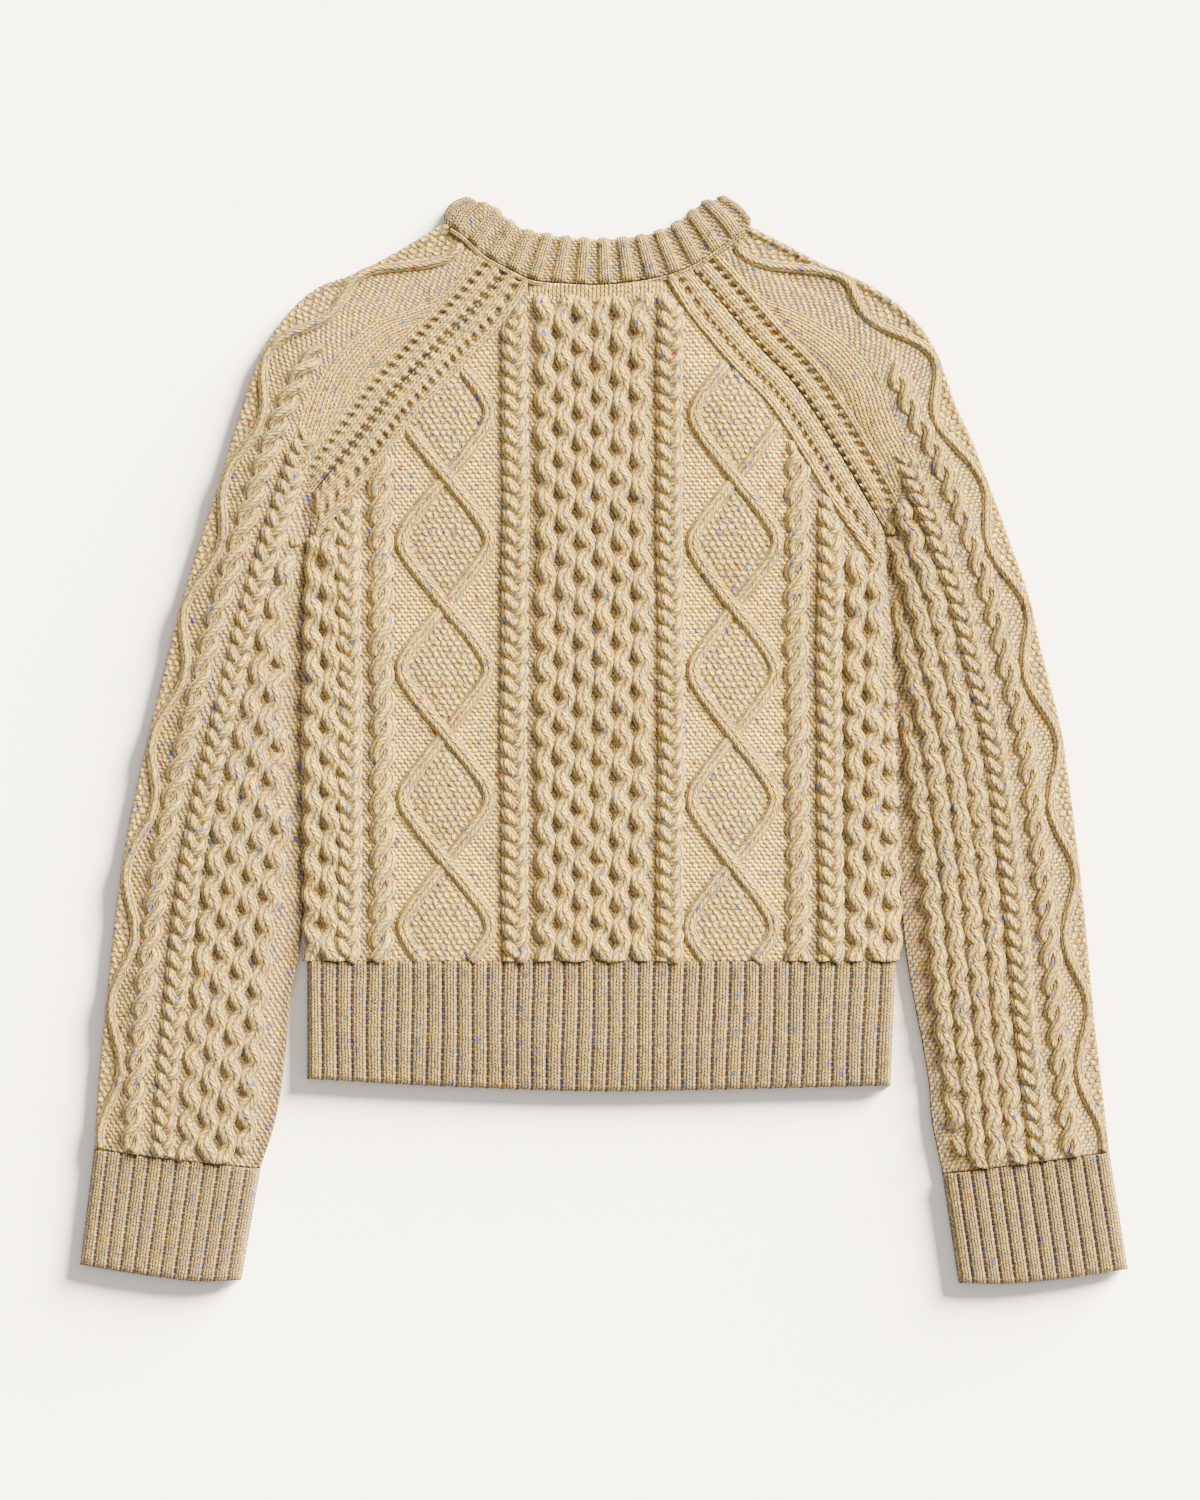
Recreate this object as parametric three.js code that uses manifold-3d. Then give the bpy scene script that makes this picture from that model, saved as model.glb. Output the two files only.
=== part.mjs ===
// Cable knit sweater with raglan sleeves, laid flat with its back up.
// Millimetres. +Z is up, +Y points to the neck, +X to the right in a view from above.
import * as THREE from 'three';
import Module from 'manifold-3d';
import { mergeVertices } from 'three/addons/utils/BufferGeometryUtils.js';

const wasm = await Module();
wasm.setup();

// Driving dimensions
const wall = 3.25; // plain knitted ground, without its cables
const seamGap = 0.3;
const upperFloor = wall + seamGap; // underside of the upper layer
const upperTop = upperFloor + wall; // plain top of the upper layer
const middle = upperTop / 2;
const sideGap = 0.5; // half the gap between a sleeve and the body beside it
const hemTop = -150.5;
const hemJoin = hemTop + seamGap;
const frontNeckDrop = 58; // how much lower the front neckline lies than the back one
const edgeRoll = 6; // width over which a free edge rounds down
const bandWidth = 21; // from the raglan seam to the raised line beside it
const bandShare = 0.085; // share of the neck seam that the end of that band takes
const foldRadius = upperTop / 2;
const seamSteps = 24; // both sides of a raglan seam share these points
const innerInset = 1.2; // the plain inner face ends this much before the outer one

// Cable sizes
const honeycombRepeat = 22;
const rowStep = honeycombRepeat / 3;
const honeycombPitch = 12.8; // from one strand to the next
const honeycombSwing = 3.05;
const plaitRepeat = 2 * rowStep; // one bar to the left and one to the right
const ropeRepeat = 17.7;
const diamondRepeat = 87.7;
const diamondCrossing = 92; // height at which two diamond strands cross
const cableHeight = 3.2;
const strandHalfWidth = 3.4;
const hemRibPitch = 10.3;
const cuffRibPitch = 9.9;
const cuffWidth = 114;
const ribHeight = 1.8;
const neckRibs = 14;

// Outlines, each row [x, y]
const neckSeam = curveThrough([
  [-107, 350], [-96, 342.5], [-82.5, 330], [-66, 320.5], [-48.5, 312.5], [-30, 310.5],
  [0, 309.5], [34.5, 314], [58.5, 321.5], [77.5, 333.5], [89, 341.5], [98.5, 348.5],
]);
const neckTop = curveThrough([
  [-87.5, 366], [-78, 365], [-68.5, 357.5], [-56, 348.5], [-40, 344.5], [-26, 342.5],
  [0, 341], [30, 344.5], [47, 351], [62, 362], [69.5, 367], [77, 368],
]);
const hemEdge = curveThrough([[-200, -230], [-111, -235], [-2, -238.5], [92.5, -237], [195, -234.5]]);

const left = {
  sign: -1,
  neckShare: 0.205, // share of the neck seam between the shoulder fold and the raglan seam
  side: curveThrough([
    [-202.5, -150.5], [-202.5, -120.5], [-204, -54], [-205.5, -10], [-204, 68.5], [-200.5, 122.5],
    [-198, 167.5],
  ]),
  raglan: curveThrough([
    [-198, 167.5], [-186.5, 182], [-168.5, 204.5], [-148, 231.5], [-133.5, 247], [-111.5, 270.5],
    [-85.5, 297.5], [-66, 320.5],
  ]),
  forearm: [[-234, -291.5], [-223.5, -258], [-217, -214], [-213.5, -175], [-207.5, -145], [-204.5, -110]],
  lowerFold: curveThrough([
    [-347, -278], [-344, -229.5], [-339.5, -183.5], [-331, -105], [-323, -54], [-307.5, 14.5],
    [-289, 89.5], [-273.5, 141], [-262.5, 173.5],
  ]),
  upperFold: curveThrough([
    [-262.5, 173.5], [-251.5, 211], [-240.5, 245], [-229, 271.5], [-213.5, 292.5], [-195, 308.5],
    [-172.5, 317], [-147, 329.5], [-125, 342.5], [-109, 352],
  ]),
  cuffEnd: [[-356.5, -356.5], [-318, -363], [-276, -368], [-247, -367]],
};
const right = {
  sign: 1,
  neckShare: 0.805,
  side: curveThrough([
    [199, -150.5], [200.5, -114.5], [199, -74], [198, -27], [196.5, 27.5], [194, 82], [191, 122.5],
    [189.5, 144.5],
  ]),
  raglan: curveThrough([
    [189.5, 144.5], [179.5, 162], [166.5, 184.5], [142.5, 223.5], [127, 245], [102.5, 270.5],
    [80, 297], [58.5, 321.5],
  ]),
  forearm: [
    [230.5, -295], [223, -258], [221, -233], [216, -203], [211.5, -180], [206, -148.5], [202.5, -114.5],
  ],
  lowerFold: curveThrough([
    [344, -280], [338.5, -229.5], [334, -190.5], [327, -114.5], [320.5, -58], [311.5, 6],
    [299, 57], [288.5, 101], [276, 136.5], [271.5, 150],
  ]),
  upperFold: curveThrough([
    [271.5, 150], [261, 177], [250, 206.5], [240.5, 226], [224.5, 268.5], [204.5, 293.5],
    [175.5, 313], [155, 321.5], [124.5, 337.5], [102, 349],
  ]),
  cuffEnd: [[356.5, -359.5], [318, -365.5], [276, -369.5], [241.5, -369]],
};

function curveThrough(points) {
  const knots = points.map(([x, y]) => new THREE.Vector3(x, y, 0));
  const curve = new THREE.CatmullRomCurve3(knots, false, 'centripetal');
  curve.arcLengthDivisions = 400;
  return curve;
}

function clamp(value, low, high) {
  return Math.min(high, Math.max(low, value));
}

function smooth(low, high, value) {
  const t = clamp((value - low) / (high - low), 0, 1);
  return t * t * (3 - 2 * t);
}

function mix(a, b, t) {
  return a + (b - a) * t;
}

function steps(count) {
  return Array.from({ length: count + 1 }, (_, i) => i / count);
}

// Height of a plain wall's top where it rounds down towards a free edge
function rolled(distance, top, low) {
  const t = clamp(distance / edgeRoll, 0, 1);
  return mix(low, top, Math.sqrt(1 - (1 - t) * (1 - t)));
}

// Closed wall between an outer and an inner grid of points, with its four borders closed.
// The inner grid may be coarser: each border strip walks along both at once.
function sheetWall(outer, inner) {
  const points = [];
  const faces = [];
  const place = (grid) => grid.map((row) => row.map((p) => points.push(p) - 1));
  const skin = (grid, flip) => {
    for (let r = 0; r + 1 < grid.length; r += 1) {
      for (let c = 0; c + 1 < grid[r].length; c += 1) {
        const [a, b, d, e] = [grid[r][c], grid[r][c + 1], grid[r + 1][c + 1], grid[r + 1][c]];
        faces.push(flip ? [a, d, b] : [a, b, d], flip ? [a, e, d] : [a, d, e]);
      }
    }
  };
  const zip = (upper, lower) => {
    let i = 0;
    let j = 0;
    while (i + 1 < upper.length || j + 1 < lower.length) {
      const nextUpper = (i + 1) / (upper.length - 1);
      const nextLower = (j + 1) / (lower.length - 1);
      if (j + 1 === lower.length || (i + 1 < upper.length && nextUpper <= nextLower)) {
        faces.push([upper[i], lower[j], upper[i + 1]]);
        i += 1;
      } else {
        faces.push([upper[i], lower[j], lower[j + 1]]);
        j += 1;
      }
    }
  };
  const over = place(outer);
  const under = place(inner);
  skin(over, false);
  skin(under, true);
  const border = (grid) => [
    grid[0],
    grid.map((row) => row[row.length - 1]),
    [...grid[grid.length - 1]].reverse(),
    grid.map((row) => row[0]).reverse(),
  ];
  const sides = border(under);
  border(over).forEach((line, k) => zip(line, sides[k]));
  return geometryOf(points, faces);
}

// Closed ring swept through sections, each a loop of points
function sweptRing(sections) {
  const points = sections.flat();
  const faces = [];
  const around = sections[0].length;
  sections.forEach((_, i) => {
    const next = ((i + 1) % sections.length) * around;
    const here = i * around;
    for (let j = 0; j < around; j += 1) {
      const k = (j + 1) % around;
      faces.push([here + j, here + k, next + k], [here + j, next + k, next + j]);
    }
  });
  return geometryOf(points, faces);
}

function geometryOf(points, faces) {
  const geometry = new THREE.BufferGeometry();
  geometry.setAttribute('position', new THREE.Float32BufferAttribute(points.flat(), 3));
  geometry.setIndex(signedVolume(points, faces) < 0 ? faces.flatMap(([a, b, c]) => [a, c, b]) : faces.flat());
  return geometry;
}

function signedVolume(points, faces) {
  return faces.reduce((sum, [a, b, c]) => {
    const [p, q, r] = [points[a], points[b], points[c]];
    const cross = [q[1] * r[2] - q[2] * r[1], q[2] * r[0] - q[0] * r[2], q[0] * r[1] - q[1] * r[0]];
    return sum + (p[0] * cross[0] + p[1] * cross[1] + p[2] * cross[2]) / 6;
  }, 0);
}

function solidOf(geometry) {
  const bare = geometry.clone();
  bare.deleteAttribute('normal');
  bare.deleteAttribute('uv');
  const merged = mergeVertices(bare, 1e-4);
  return new wasm.Manifold(new wasm.Mesh({
    numProp: 3,
    vertProperties: new Float32Array(merged.attributes.position.array),
    triVerts: new Uint32Array(merged.index.array),
  }));
}

function geometryFrom(solid) {
  const mesh = solid.getMesh();
  const geometry = new THREE.BufferGeometry();
  geometry.setAttribute('position', new THREE.BufferAttribute(new Float32Array(mesh.vertProperties), 3));
  geometry.setIndex(new THREE.BufferAttribute(new Uint32Array(mesh.triVerts), 1));
  return geometry;
}

// Upright block over a flat outline
function blockOver(outline, low, high) {
  const shape = new THREE.Shape(outline.map(([x, y]) => new THREE.Vector2(x, y)));
  const geometry = new THREE.ExtrudeGeometry(shape, { depth: high - low, bevelEnabled: false });
  geometry.translate(0, 0, low);
  return geometry;
}

// Cables. Each gives the points across one knitted row: [x, height over the plain ground].
function honeycombRow(centre, strands, y) {
  const phase = (2 * Math.PI * y) / honeycombRepeat;
  const at = (k) => centre + (k - (strands - 1) / 2) * honeycombPitch
    + (k % 2 ? -1 : 1) * honeycombSwing * Math.cos(phase);
  const row = [];
  for (let k = 0; k < strands; k += 1) {
    row.push([at(k), cableHeight]);
    if (k + 1 < strands) {
      const spread = (at(k + 1) - at(k) - honeycombPitch) / (2 * honeycombSwing);
      row.push([(at(k) + at(k + 1)) / 2, mix(2.3, -0.9, (spread + 1) / 2)]);
    }
  }
  return row;
}

function twistRow(from, to, repeat, y) {
  const swing = 0.9 * Math.cos((2 * Math.PI * y) / repeat);
  return [
    [mix(from, to, 0.3), cableHeight - 0.9 + swing],
    [mix(from, to, 0.7), cableHeight - 0.9 - swing],
  ];
}

function diamondRow(centre, y) {
  const narrow = 3.6;
  const wide = 28.5;
  const turn = Math.acos(0.94 * Math.cos((2 * Math.PI * (y - diamondCrossing)) / diamondRepeat));
  const half = mix(narrow, wide, clamp((turn - 0.35) / (Math.PI - 0.7), 0, 1));
  const foot = Math.min(strandHalfWidth, half * 0.6);
  const inside = half > 8 ? 0.9 : 1.8;
  return [
    [centre - half - strandHalfWidth, 0.1], [centre - half, 2.6], [centre - half + foot, inside],
    [centre + half - foot, inside], [centre + half, 2.6], [centre + half + strandHalfWidth, 0.1],
  ];
}

// Back panel across one row, from the left side edge to the right one
function backRow(y) {
  const edgeAt = (side) => sideEdge(side, y);
  const [x0, x1] = [edgeAt(left) + sideGap, edgeAt(right) - sideGap];
  const lean = clamp((y - 50) / 170, -1, 1) * 2;
  const cables = [
    ...honeycombRow(-192.5, 1, y), [-183.5, 0],
    ...twistRow(-182, -165, plaitRepeat, y), [-162.5, 0],
    ...twistRow(-160, -142, ropeRepeat, y), [-140, 0],
    ...diamondRow(-108.5, y), [-73, 0],
    ...twistRow(-70.7, -50.3, plaitRepeat, y), [-48, 0],
    ...honeycombRow(-7.1, 6, y), [34, 0],
    ...twistRow(36, 54.4, plaitRepeat, y + plaitRepeat / 2), [56.5, 0],
    ...diamondRow(87.5 + lean, y - 1), [120.5, 0],
    ...twistRow(122, 141, ropeRepeat, y), [143, 0],
    ...twistRow(145, 163, plaitRepeat, y + plaitRepeat / 2), [165.5, 0],
    ...honeycombRow(178.5, 2, y),
  ];
  const row = [[x0, upperFloor + 0.5], [x0 + 1.2, upperFloor + 1.9]];
  cables.forEach(([x, height]) => {
    const distance = Math.min(x - x0, x1 - x);
    const held = smooth(0, 22, raglanDistance(x, y) - bandWidth);
    row.push([x, rolled(distance, upperTop, upperFloor + 0.5) + height * held * smooth(0, 8, distance)]);
  });
  row.push([x1 - 1.2, upperFloor + 1.9], [x1, upperFloor + 0.5]);
  return row.map(([x, z]) => [x, y, z]);
}

// The side edge as a function of height, straight on above the underarm
function sideEdge(side, y) {
  const samples = side.sidePoints ?? (side.sidePoints = side.side.getPoints(60));
  const above = samples.findIndex((p) => p.y >= y);
  if (above < 0) return samples[samples.length - 1].x;
  if (above === 0) return samples[0].x;
  const [a, b] = [samples[above - 1], samples[above]];
  return mix(a.x, b.x, (y - a.y) / (b.y - a.y));
}

function raglanDistance(x, y) {
  const side = x < 0 ? left : right;
  const samples = side.raglanPoints ?? (side.raglanPoints = side.raglan.getSpacedPoints(50));
  return Math.min(...samples.map((p) => Math.hypot(p.x - x, p.y - y)));
}

// Where the raised line beside the raglan seam runs, on the body's side
function borderPoint(side, t) {
  const seam = side.raglan.getPointAt(t);
  const along = side.raglan.getTangentAt(t);
  const across = [along.y * -side.sign * bandWidth, along.x * side.sign * bandWidth];
  const fromUnderarm = [side.sign * 0.5, -33];
  const onNeck = neckSeam.getPointAt(side.neckShare - side.sign * bandShare);
  const toNeck = [onNeck.x - seam.x, onNeck.y - seam.y];
  const start = 1 - smooth(0, 0.22, t);
  const end = smooth(0.84, 1, t);
  const offset = (k) => across[k] * (1 - start - end) + fromUnderarm[k] * start + toNeck[k] * end;
  return [seam.x + offset(0), seam.y + offset(1)];
}

// Lace band between the raglan seam and its raised line, as part of the back
function raglanBand(side) {
  const profile = [
    { share: 0, height: -0.9 }, { share: 0.14, height: 0.2 }, { share: 0.38, height: 1.6 },
    { share: 0.54, height: 0.3 }, { share: 0.7, height: -0.5 }, { share: 0.86, height: 0.4 },
    { share: 1, height: 1.8 }, { share: 1.1, height: -0.4 },
  ];
  const rows = steps(seamSteps).map((t) => {
    const seam = side.raglan.getPointAt(t);
    const border = borderPoint(side, t);
    return profile.map(({ share, height }) => [
      mix(seam.x, border[0], share), mix(seam.y, border[1], share), upperTop + height,
    ]);
  });
  const outer = side.sign < 0 ? rows : rows.map((row) => [...row].reverse());
  const last = profile.length - 1;
  const inner = outer.map((row) => [row[0], row[last]].map(([x, y]) => [x, y, upperFloor]));
  return solidOf(sheetWall(outer, inner));
}

function buildBack() {
  const topRow = 318;
  const count = Math.round((topRow - hemJoin) / rowStep);
  const outer = steps(count).map((t) => backRow(mix(hemJoin, topRow, t)));
  const inner = outer.filter((_, r) => r % 9 === 0 || r === count).map((row) => {
    const [first, last] = [row[0], row[row.length - 1]];
    return [[first[0] + innerInset, first[1], upperFloor], [last[0] - innerInset, last[1], upperFloor]];
  });
  const grid = solidOf(sheetWall(outer, inner));
  const overlap = 0.97;
  const borderLine = (side) => steps(seamSteps).map((t) => {
    const seam = side.raglan.getPointAt(t);
    return borderPoint(side, t).map((value, k) => mix([seam.x, seam.y][k], value, overlap));
  });
  const [leftBorder, rightBorder] = [borderLine(left), borderLine(right)];
  const neckFrom = left.neckShare + bandShare;
  const neckTo = right.neckShare - bandShare;
  const across = steps(24).map((t) => neckSeam.getPointAt(mix(neckFrom, neckTo, t)));
  const outline = [
    [-260, leftBorder[0][1]], ...leftBorder, ...across.slice(1, -1).map((p) => [p.x, p.y - 0.2]),
    ...rightBorder.reverse(), [260, rightBorder[seamSteps][1]], [260, -200], [-260, -200],
  ];
  const cut = grid.intersect(solidOf(blockOver(outline, -5, 40)));
  return geometryFrom(cut.add(raglanBand(left)).add(raglanBand(right)));
}

// Flat lower layer of the body: the front, cut at its raglan seams and its lower neckline
function frontRaglan(side, t) {
  const seam = side.raglan.getPointAt(t);
  return [seam.x, seam.y - frontDropAt(side.neckShare) * t * t];
}

function frontDropAt(share) {
  return frontNeckDrop * Math.sin(Math.PI * share);
}

function buildFront() {
  const sideLine = (side) => steps(10).map((t) => {
    const p = side.side.getPointAt(t);
    return [p.x - side.sign * sideGap, Math.max(p.y, hemJoin)];
  });
  const inset = (side, t) => {
    const [x, y] = frontRaglan(side, t);
    return [x - side.sign * seamGap, y - seamGap * 0.6];
  };
  const neck = steps(16).map((t) => {
    const share = mix(left.neckShare, right.neckShare, t);
    const p = neckSeam.getPointAt(share);
    return [p.x, p.y - frontDropAt(share) - seamGap];
  });
  const outline = [
    ...sideLine(left), ...steps(seamSteps).slice(1, -1).map((t) => inset(left, t)), ...neck.slice(1, -1),
    ...steps(seamSteps).slice(1, -1).reverse().map((t) => inset(right, t)), ...sideLine(right).reverse(),
  ];
  return blockOver(outline, 0, wall);
}

// Height profile of a run of ribs: three columns a rib, each [share of the run, height]
function ribColumns(count) {
  const columns = [[0, 0.2]];
  for (let k = 0; k < count; k += 1) {
    columns.push([(k + 0.2) / count, ribHeight], [(k + 0.8) / count, ribHeight], [(k + 1) / count, 0]);
  }
  return columns;
}

function buildHemBack() {
  const [x0, x1] = [sideEdge(left, hemTop) + sideGap, sideEdge(right, hemTop) - sideGap];
  const columns = ribColumns(Math.round((x1 - x0) / hemRibPitch));
  const narrowing = 3.5; // the ribbing draws in on the right
  const row = (share, lift) => columns.map(([t, height]) => {
    const bottom = hemEdge.getPointAt(t);
    const x = mix(x0, x1 - narrowing * (1 - share), t);
    const edge = Math.min(x - x0, x1 - narrowing * (1 - share) - x);
    const z = rolled(edge, upperTop, upperFloor + 0.5) + height * smooth(0, 3, edge);
    return [x, mix(bottom.y, hemTop, share), mix(upperFloor + 0.8, z, lift)];
  });
  const outer = [row(0, 0), row(0.04, 0.9), row(0.52, 1), row(1, 0.8)];
  const inner = [row(0, 0), row(0.52, 1), row(1, 1)].map((points) => {
    const kept = points.filter((_, i) => i % 13 === 0);
    return kept.map(([x, y]) => [x, y, upperFloor]);
  });
  return sheetWall(outer, inner);
}

function buildHemFront() {
  const [x0, x1] = [sideEdge(left, hemTop) + sideGap, sideEdge(right, hemTop) - sideGap];
  const bottom = steps(10).map((t) => [mix(x0, x1 - 3.5, t), hemEdge.getPointAt(t).y]);
  return blockOver([...bottom, [x1, hemTop], [x0, hemTop]], 0, wall);
}

// Sleeve: one sheet folded along its outer edge, with its seam at the inner edge
function innerLine(side) {
  const lower = side.side.getPoints(8).filter((p) => p.y > -100);
  return curveThrough([
    ...side.forearm, ...lower.map((p) => [p.x + side.sign * sideGap, p.y]),
  ]);
}

function sleeveRows(side) {
  const inner = innerLine(side);
  const lowerCount = 42;
  const rows = [];
  steps(lowerCount).forEach((t) => {
    const from = side.lowerFold.getPointAt(t);
    const to = inner.getPointAt(t);
    const length = t * side.lowerFold.getLength();
    rows.push({ fold: [from.x, from.y], back: [to.x, to.y], front: [to.x, to.y], along: length, cap: 0 });
  });
  steps(seamSteps).slice(1).forEach((t) => {
    const from = side.upperFold.getPointAt(t);
    const seam = side.raglan.getPointAt(t);
    const away = side.sign * (seamGap + sideGap * (1 - smooth(0, 0.2, t)));
    const drop = frontDropAt(side.neckShare) * t * t;
    rows.push({
      fold: [from.x, from.y],
      back: [seam.x + away, seam.y + seamGap * 0.6],
      front: [seam.x + away, seam.y - drop + seamGap * 0.6],
      along: side.lowerFold.getLength() + t * side.upperFold.getLength(),
      cap: t,
    });
  });
  return rows;
}

// Cables of the sleeve, as distances from the fold: [distance, height]
function sleeveColumns(width, along, cap) {
  const shoulder = smooth(0.1, 0.6, cap);
  const reach = mix(12, 19, shoulder);
  const strand = 3.5 + reach * 0.5 * (1 - Math.cos((2 * Math.PI * (along - 10)) / 91));
  const ropeStart = mix(16.5, 25.5, shoulder);
  const ropeEnd = ropeStart + mix(20, 18, shoulder);
  const ropeLeft = 1 - smooth(0.5, 0.62, cap);
  const plaitEnd = ropeEnd + 22;
  const plaitLeft = 1 - smooth(0.05, 0.2, cap);
  const comb = honeycombRow(plaitEnd + 26, 4, along);
  const free = [
    [Math.max(1, strand - strandHalfWidth), 0.8], [strand, 2.6],
    [Math.min(strand + strandHalfWidth, ropeStart - 0.5), 0.1],
    ...twistRow(ropeStart, ropeEnd, ropeRepeat, along).map(([d, h]) => [d, h * ropeLeft]),
    [ropeEnd + 1, 0], [mix(ropeEnd, plaitEnd, 0.5), 3 * plaitLeft], [plaitEnd, 0],
    ...comb.map(([d, h]) => [d, h * plaitLeft]),
  ];
  const band = smooth(0, 0.12, cap);
  const trim = [
    { from: mix(9, 23, band), height: 0 }, { from: mix(7, 21, band), height: 1.8 * band },
    { from: mix(5, 14, band), height: -0.5 * band }, { from: mix(3, 8, band), height: mix(-0.5, 1.6, band) },
    { from: 0, height: mix(-2.7, -0.9, band) },
  ];
  const limit = width - trim[0].from;
  const columns = free.map(([d, h], i) => {
    const most = limit - (free.length - i) * 0.7;
    return d > most ? [most, 0] : [d, h * smooth(0, 4, most - d)];
  });
  return [...columns, ...trim.map(({ from, height }) => [width - from, height])];
}

// A sheet folded along one edge: a flat lower layer, the fold, and an upper layer with relief.
// Each row runs from the fold to its front and back ends; bow(layer, t) shifts a curved end row.
function foldedSheet(side, rows, columnsOf) {
  const place = (row, layer, d, z) => {
    const end = row[layer];
    const t = d / row.width;
    const shift = row.bow ? row.bow(layer, t) : [0, 0];
    return [mix(row.fold[0], end[0], t) + shift[0], mix(row.fold[1], end[1], t) + shift[1], z];
  };
  const turned = (line) => (side.sign < 0 ? line : line.reverse());
  rows.forEach((row) => {
    row.width = Math.hypot(row.back[0] - row.fold[0], row.back[1] - row.fold[1]);
  });
  const outer = rows.map((row) => {
    const w = row.width;
    const under = [[w, wall - 0.5], [w - 2, 0], [w / 2, 0], [foldRadius, 0], [0.9, 1.2]];
    const over = columnsOf(row).map(([d, height]) => {
      const z = rolled(d + 2.5, upperTop, middle) + height * smooth(-1, 4, d);
      return [Math.max(d, 1.2), z];
    });
    return turned([
      ...under.map(([d, z]) => place(row, 'front', d, z)),
      ...[[0, middle], [0.9, upperTop - 1.2], ...over].map(([d, z]) => place(row, 'back', d, z)),
    ]);
  });
  const inner = rows.filter((_, r) => r % 3 === 0 || r === rows.length - 1).map((row) => {
    const back = row.cap === 1 ? 2 : 0; // the inner face stops short of the curved neck seam
    const stops = [row.width - innerInset, row.width / 2, foldRadius];
    const line = [
      ...stops.map((d) => place(row, 'front', d, wall)),
      ...stops.reverse().map((d) => place(row, 'back', d, upperFloor)),
    ];
    return turned(line.map(([x, y, z]) => [x, y - back, z]));
  });
  return sheetWall(outer, inner);
}

function buildSleeve(side) {
  const fold = side.upperFold.getPointAt(1);
  const junction = neckSeam.getPointAt(side.neckShare);
  const shoulder = side.sign < 0 ? 0 : 1;
  const neckBow = (layer, t) => {
    const share = mix(shoulder, side.neckShare, t);
    const p = neckSeam.getPointAt(share);
    const drop = (s) => (layer === 'front' ? frontDropAt(s) : 0);
    return [
      p.x - mix(fold.x, junction.x, t),
      p.y - drop(share) - mix(fold.y, junction.y - drop(side.neckShare), t),
    ];
  };
  const rows = sleeveRows(side).map((row) => ({
    ...row,
    bow: (layer, t) => {
      const amount = smooth(0.55, 1, row.cap) * clamp(t * 6, 0, 1);
      return neckBow(layer, t).map((value) => value * amount);
    },
  }));
  return foldedSheet(side, rows, (row) => sleeveColumns(row.width, row.along, row.cap));
}

function buildCuff(side) {
  const topFold = side.lowerFold.getPointAt(0);
  const topInner = innerLine(side).getPointAt(0);
  const end = curveThrough(side.cuffEnd);
  const [low, high] = [end.getPointAt(0), end.getPointAt(1)];
  const join = seamGap + 0.1;
  const rows = [0, 0.02, 0.98, 1].map((share) => {
    const back = [mix(high.x, topInner.x, share), mix(high.y, topInner.y - join, share)];
    return {
      fold: [mix(low.x, topFold.x, share), mix(low.y, topFold.y - join, share)],
      back,
      front: back,
      atEnd: share === 0 || share === 1,
      bow: (_, t) => [0, (end.getPointAt(clamp(t, 0, 1)).y - mix(low.y, high.y, t)) * (1 - share)],
    };
  });
  const ribs = Math.round(cuffWidth / cuffRibPitch);
  const columnsOf = (row) => ribColumns(ribs).slice(1).map(([t, height]) => {
    const d = mix(2, row.width, t);
    const edge = smooth(0, 3, row.width - d);
    return [d, (row.atEnd ? -0.9 : height) * edge - 2.4 * (1 - edge)];
  });
  return foldedSheet(side, rows, columnsOf);
}

// Neckband: a ribbed ring, its back half on the upper layer and its front half under it
function buildNeckband() {
  const backCount = neckRibs * 3;
  const section = (seam, top, outerZ, innerZ, height) => [
    [seam[0], seam[1], innerZ], [seam[0], seam[1], mix(innerZ, outerZ, 0.7)],
    ...[0.08, 0.92].map((t) => [mix(seam[0], top[0], t), mix(seam[1], top[1], t), outerZ + height]),
    [top[0], top[1], mix(innerZ, outerZ, 0.6) + height * 0.4], [top[0], top[1], innerZ],
  ];
  const lineAt = (t, drop) => {
    const seam = neckSeam.getPointAt(t);
    const top = neckTop.getPointAt(t);
    const lower = drop * Math.sin(Math.PI * t);
    const clear = drop ? 6 : 0.8;
    return [[seam.x, seam.y + clear - lower], [top.x, top.y - lower * 0.97]];
  };
  const sections = [];
  steps(backCount).forEach((t, i) => {
    const [seam, top] = lineAt(t, 0);
    const height = [0, 1, 1][i % 3] * ribHeight;
    sections.push(section(seam, top, upperTop, upperFloor, height));
  });
  const turn = (t, from, angles) => {
    const [seam, top] = lineAt(t, 0);
    const [ux, uy] = [top[0] - seam[0], top[1] - seam[1]];
    const length = Math.hypot(ux, uy);
    const out = [(uy / length) * from, (-ux / length) * from];
    angles.forEach((angle) => {
      const at = (radius) => [out[0] * Math.sin(angle) * radius, out[1] * Math.sin(angle) * radius,
        middle + Math.cos(angle) * radius];
      const near = at(seamGap / 2);
      const far = at(foldRadius);
      const put = (base, p) => [base[0] + p[0], base[1] + p[1], p[2]];
      const blend = (a, b, s) => [mix(a[0], b[0], s), mix(a[1], b[1], s)];
      sections.push([
        put(seam, near), put(seam, at(mix(seamGap / 2, foldRadius, 0.7))),
        ...[0.08, 0.92].map((s) => put(blend(seam, top, s), far)),
        put(top, at(mix(seamGap / 2, foldRadius, 0.6))), put(top, near),
      ]);
    });
  };
  turn(1, 1, [Math.PI * 0.25, Math.PI * 0.5, Math.PI * 0.75]);
  steps(16).forEach((t) => {
    const [seam, top] = lineAt(1 - t, frontNeckDrop);
    sections.push(section(seam, top, 0, wall, 0));
  });
  turn(0, -1, [Math.PI * 0.75, Math.PI * 0.5, Math.PI * 0.25]);
  return sweptRing(sections);
}

// Finish
const oatmeal = { color: new THREE.Color(0xd6c39b), roughness: 0.95, metalness: 0 };
const ribbing = { color: new THREE.Color(0xcfbc93), roughness: 0.95, metalness: 0 };

function piece(name, geometry, finish) {
  const mesh = new THREE.Mesh(geometry, new THREE.MeshStandardMaterial(finish));
  mesh.name = name;
  return mesh;
}

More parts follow.
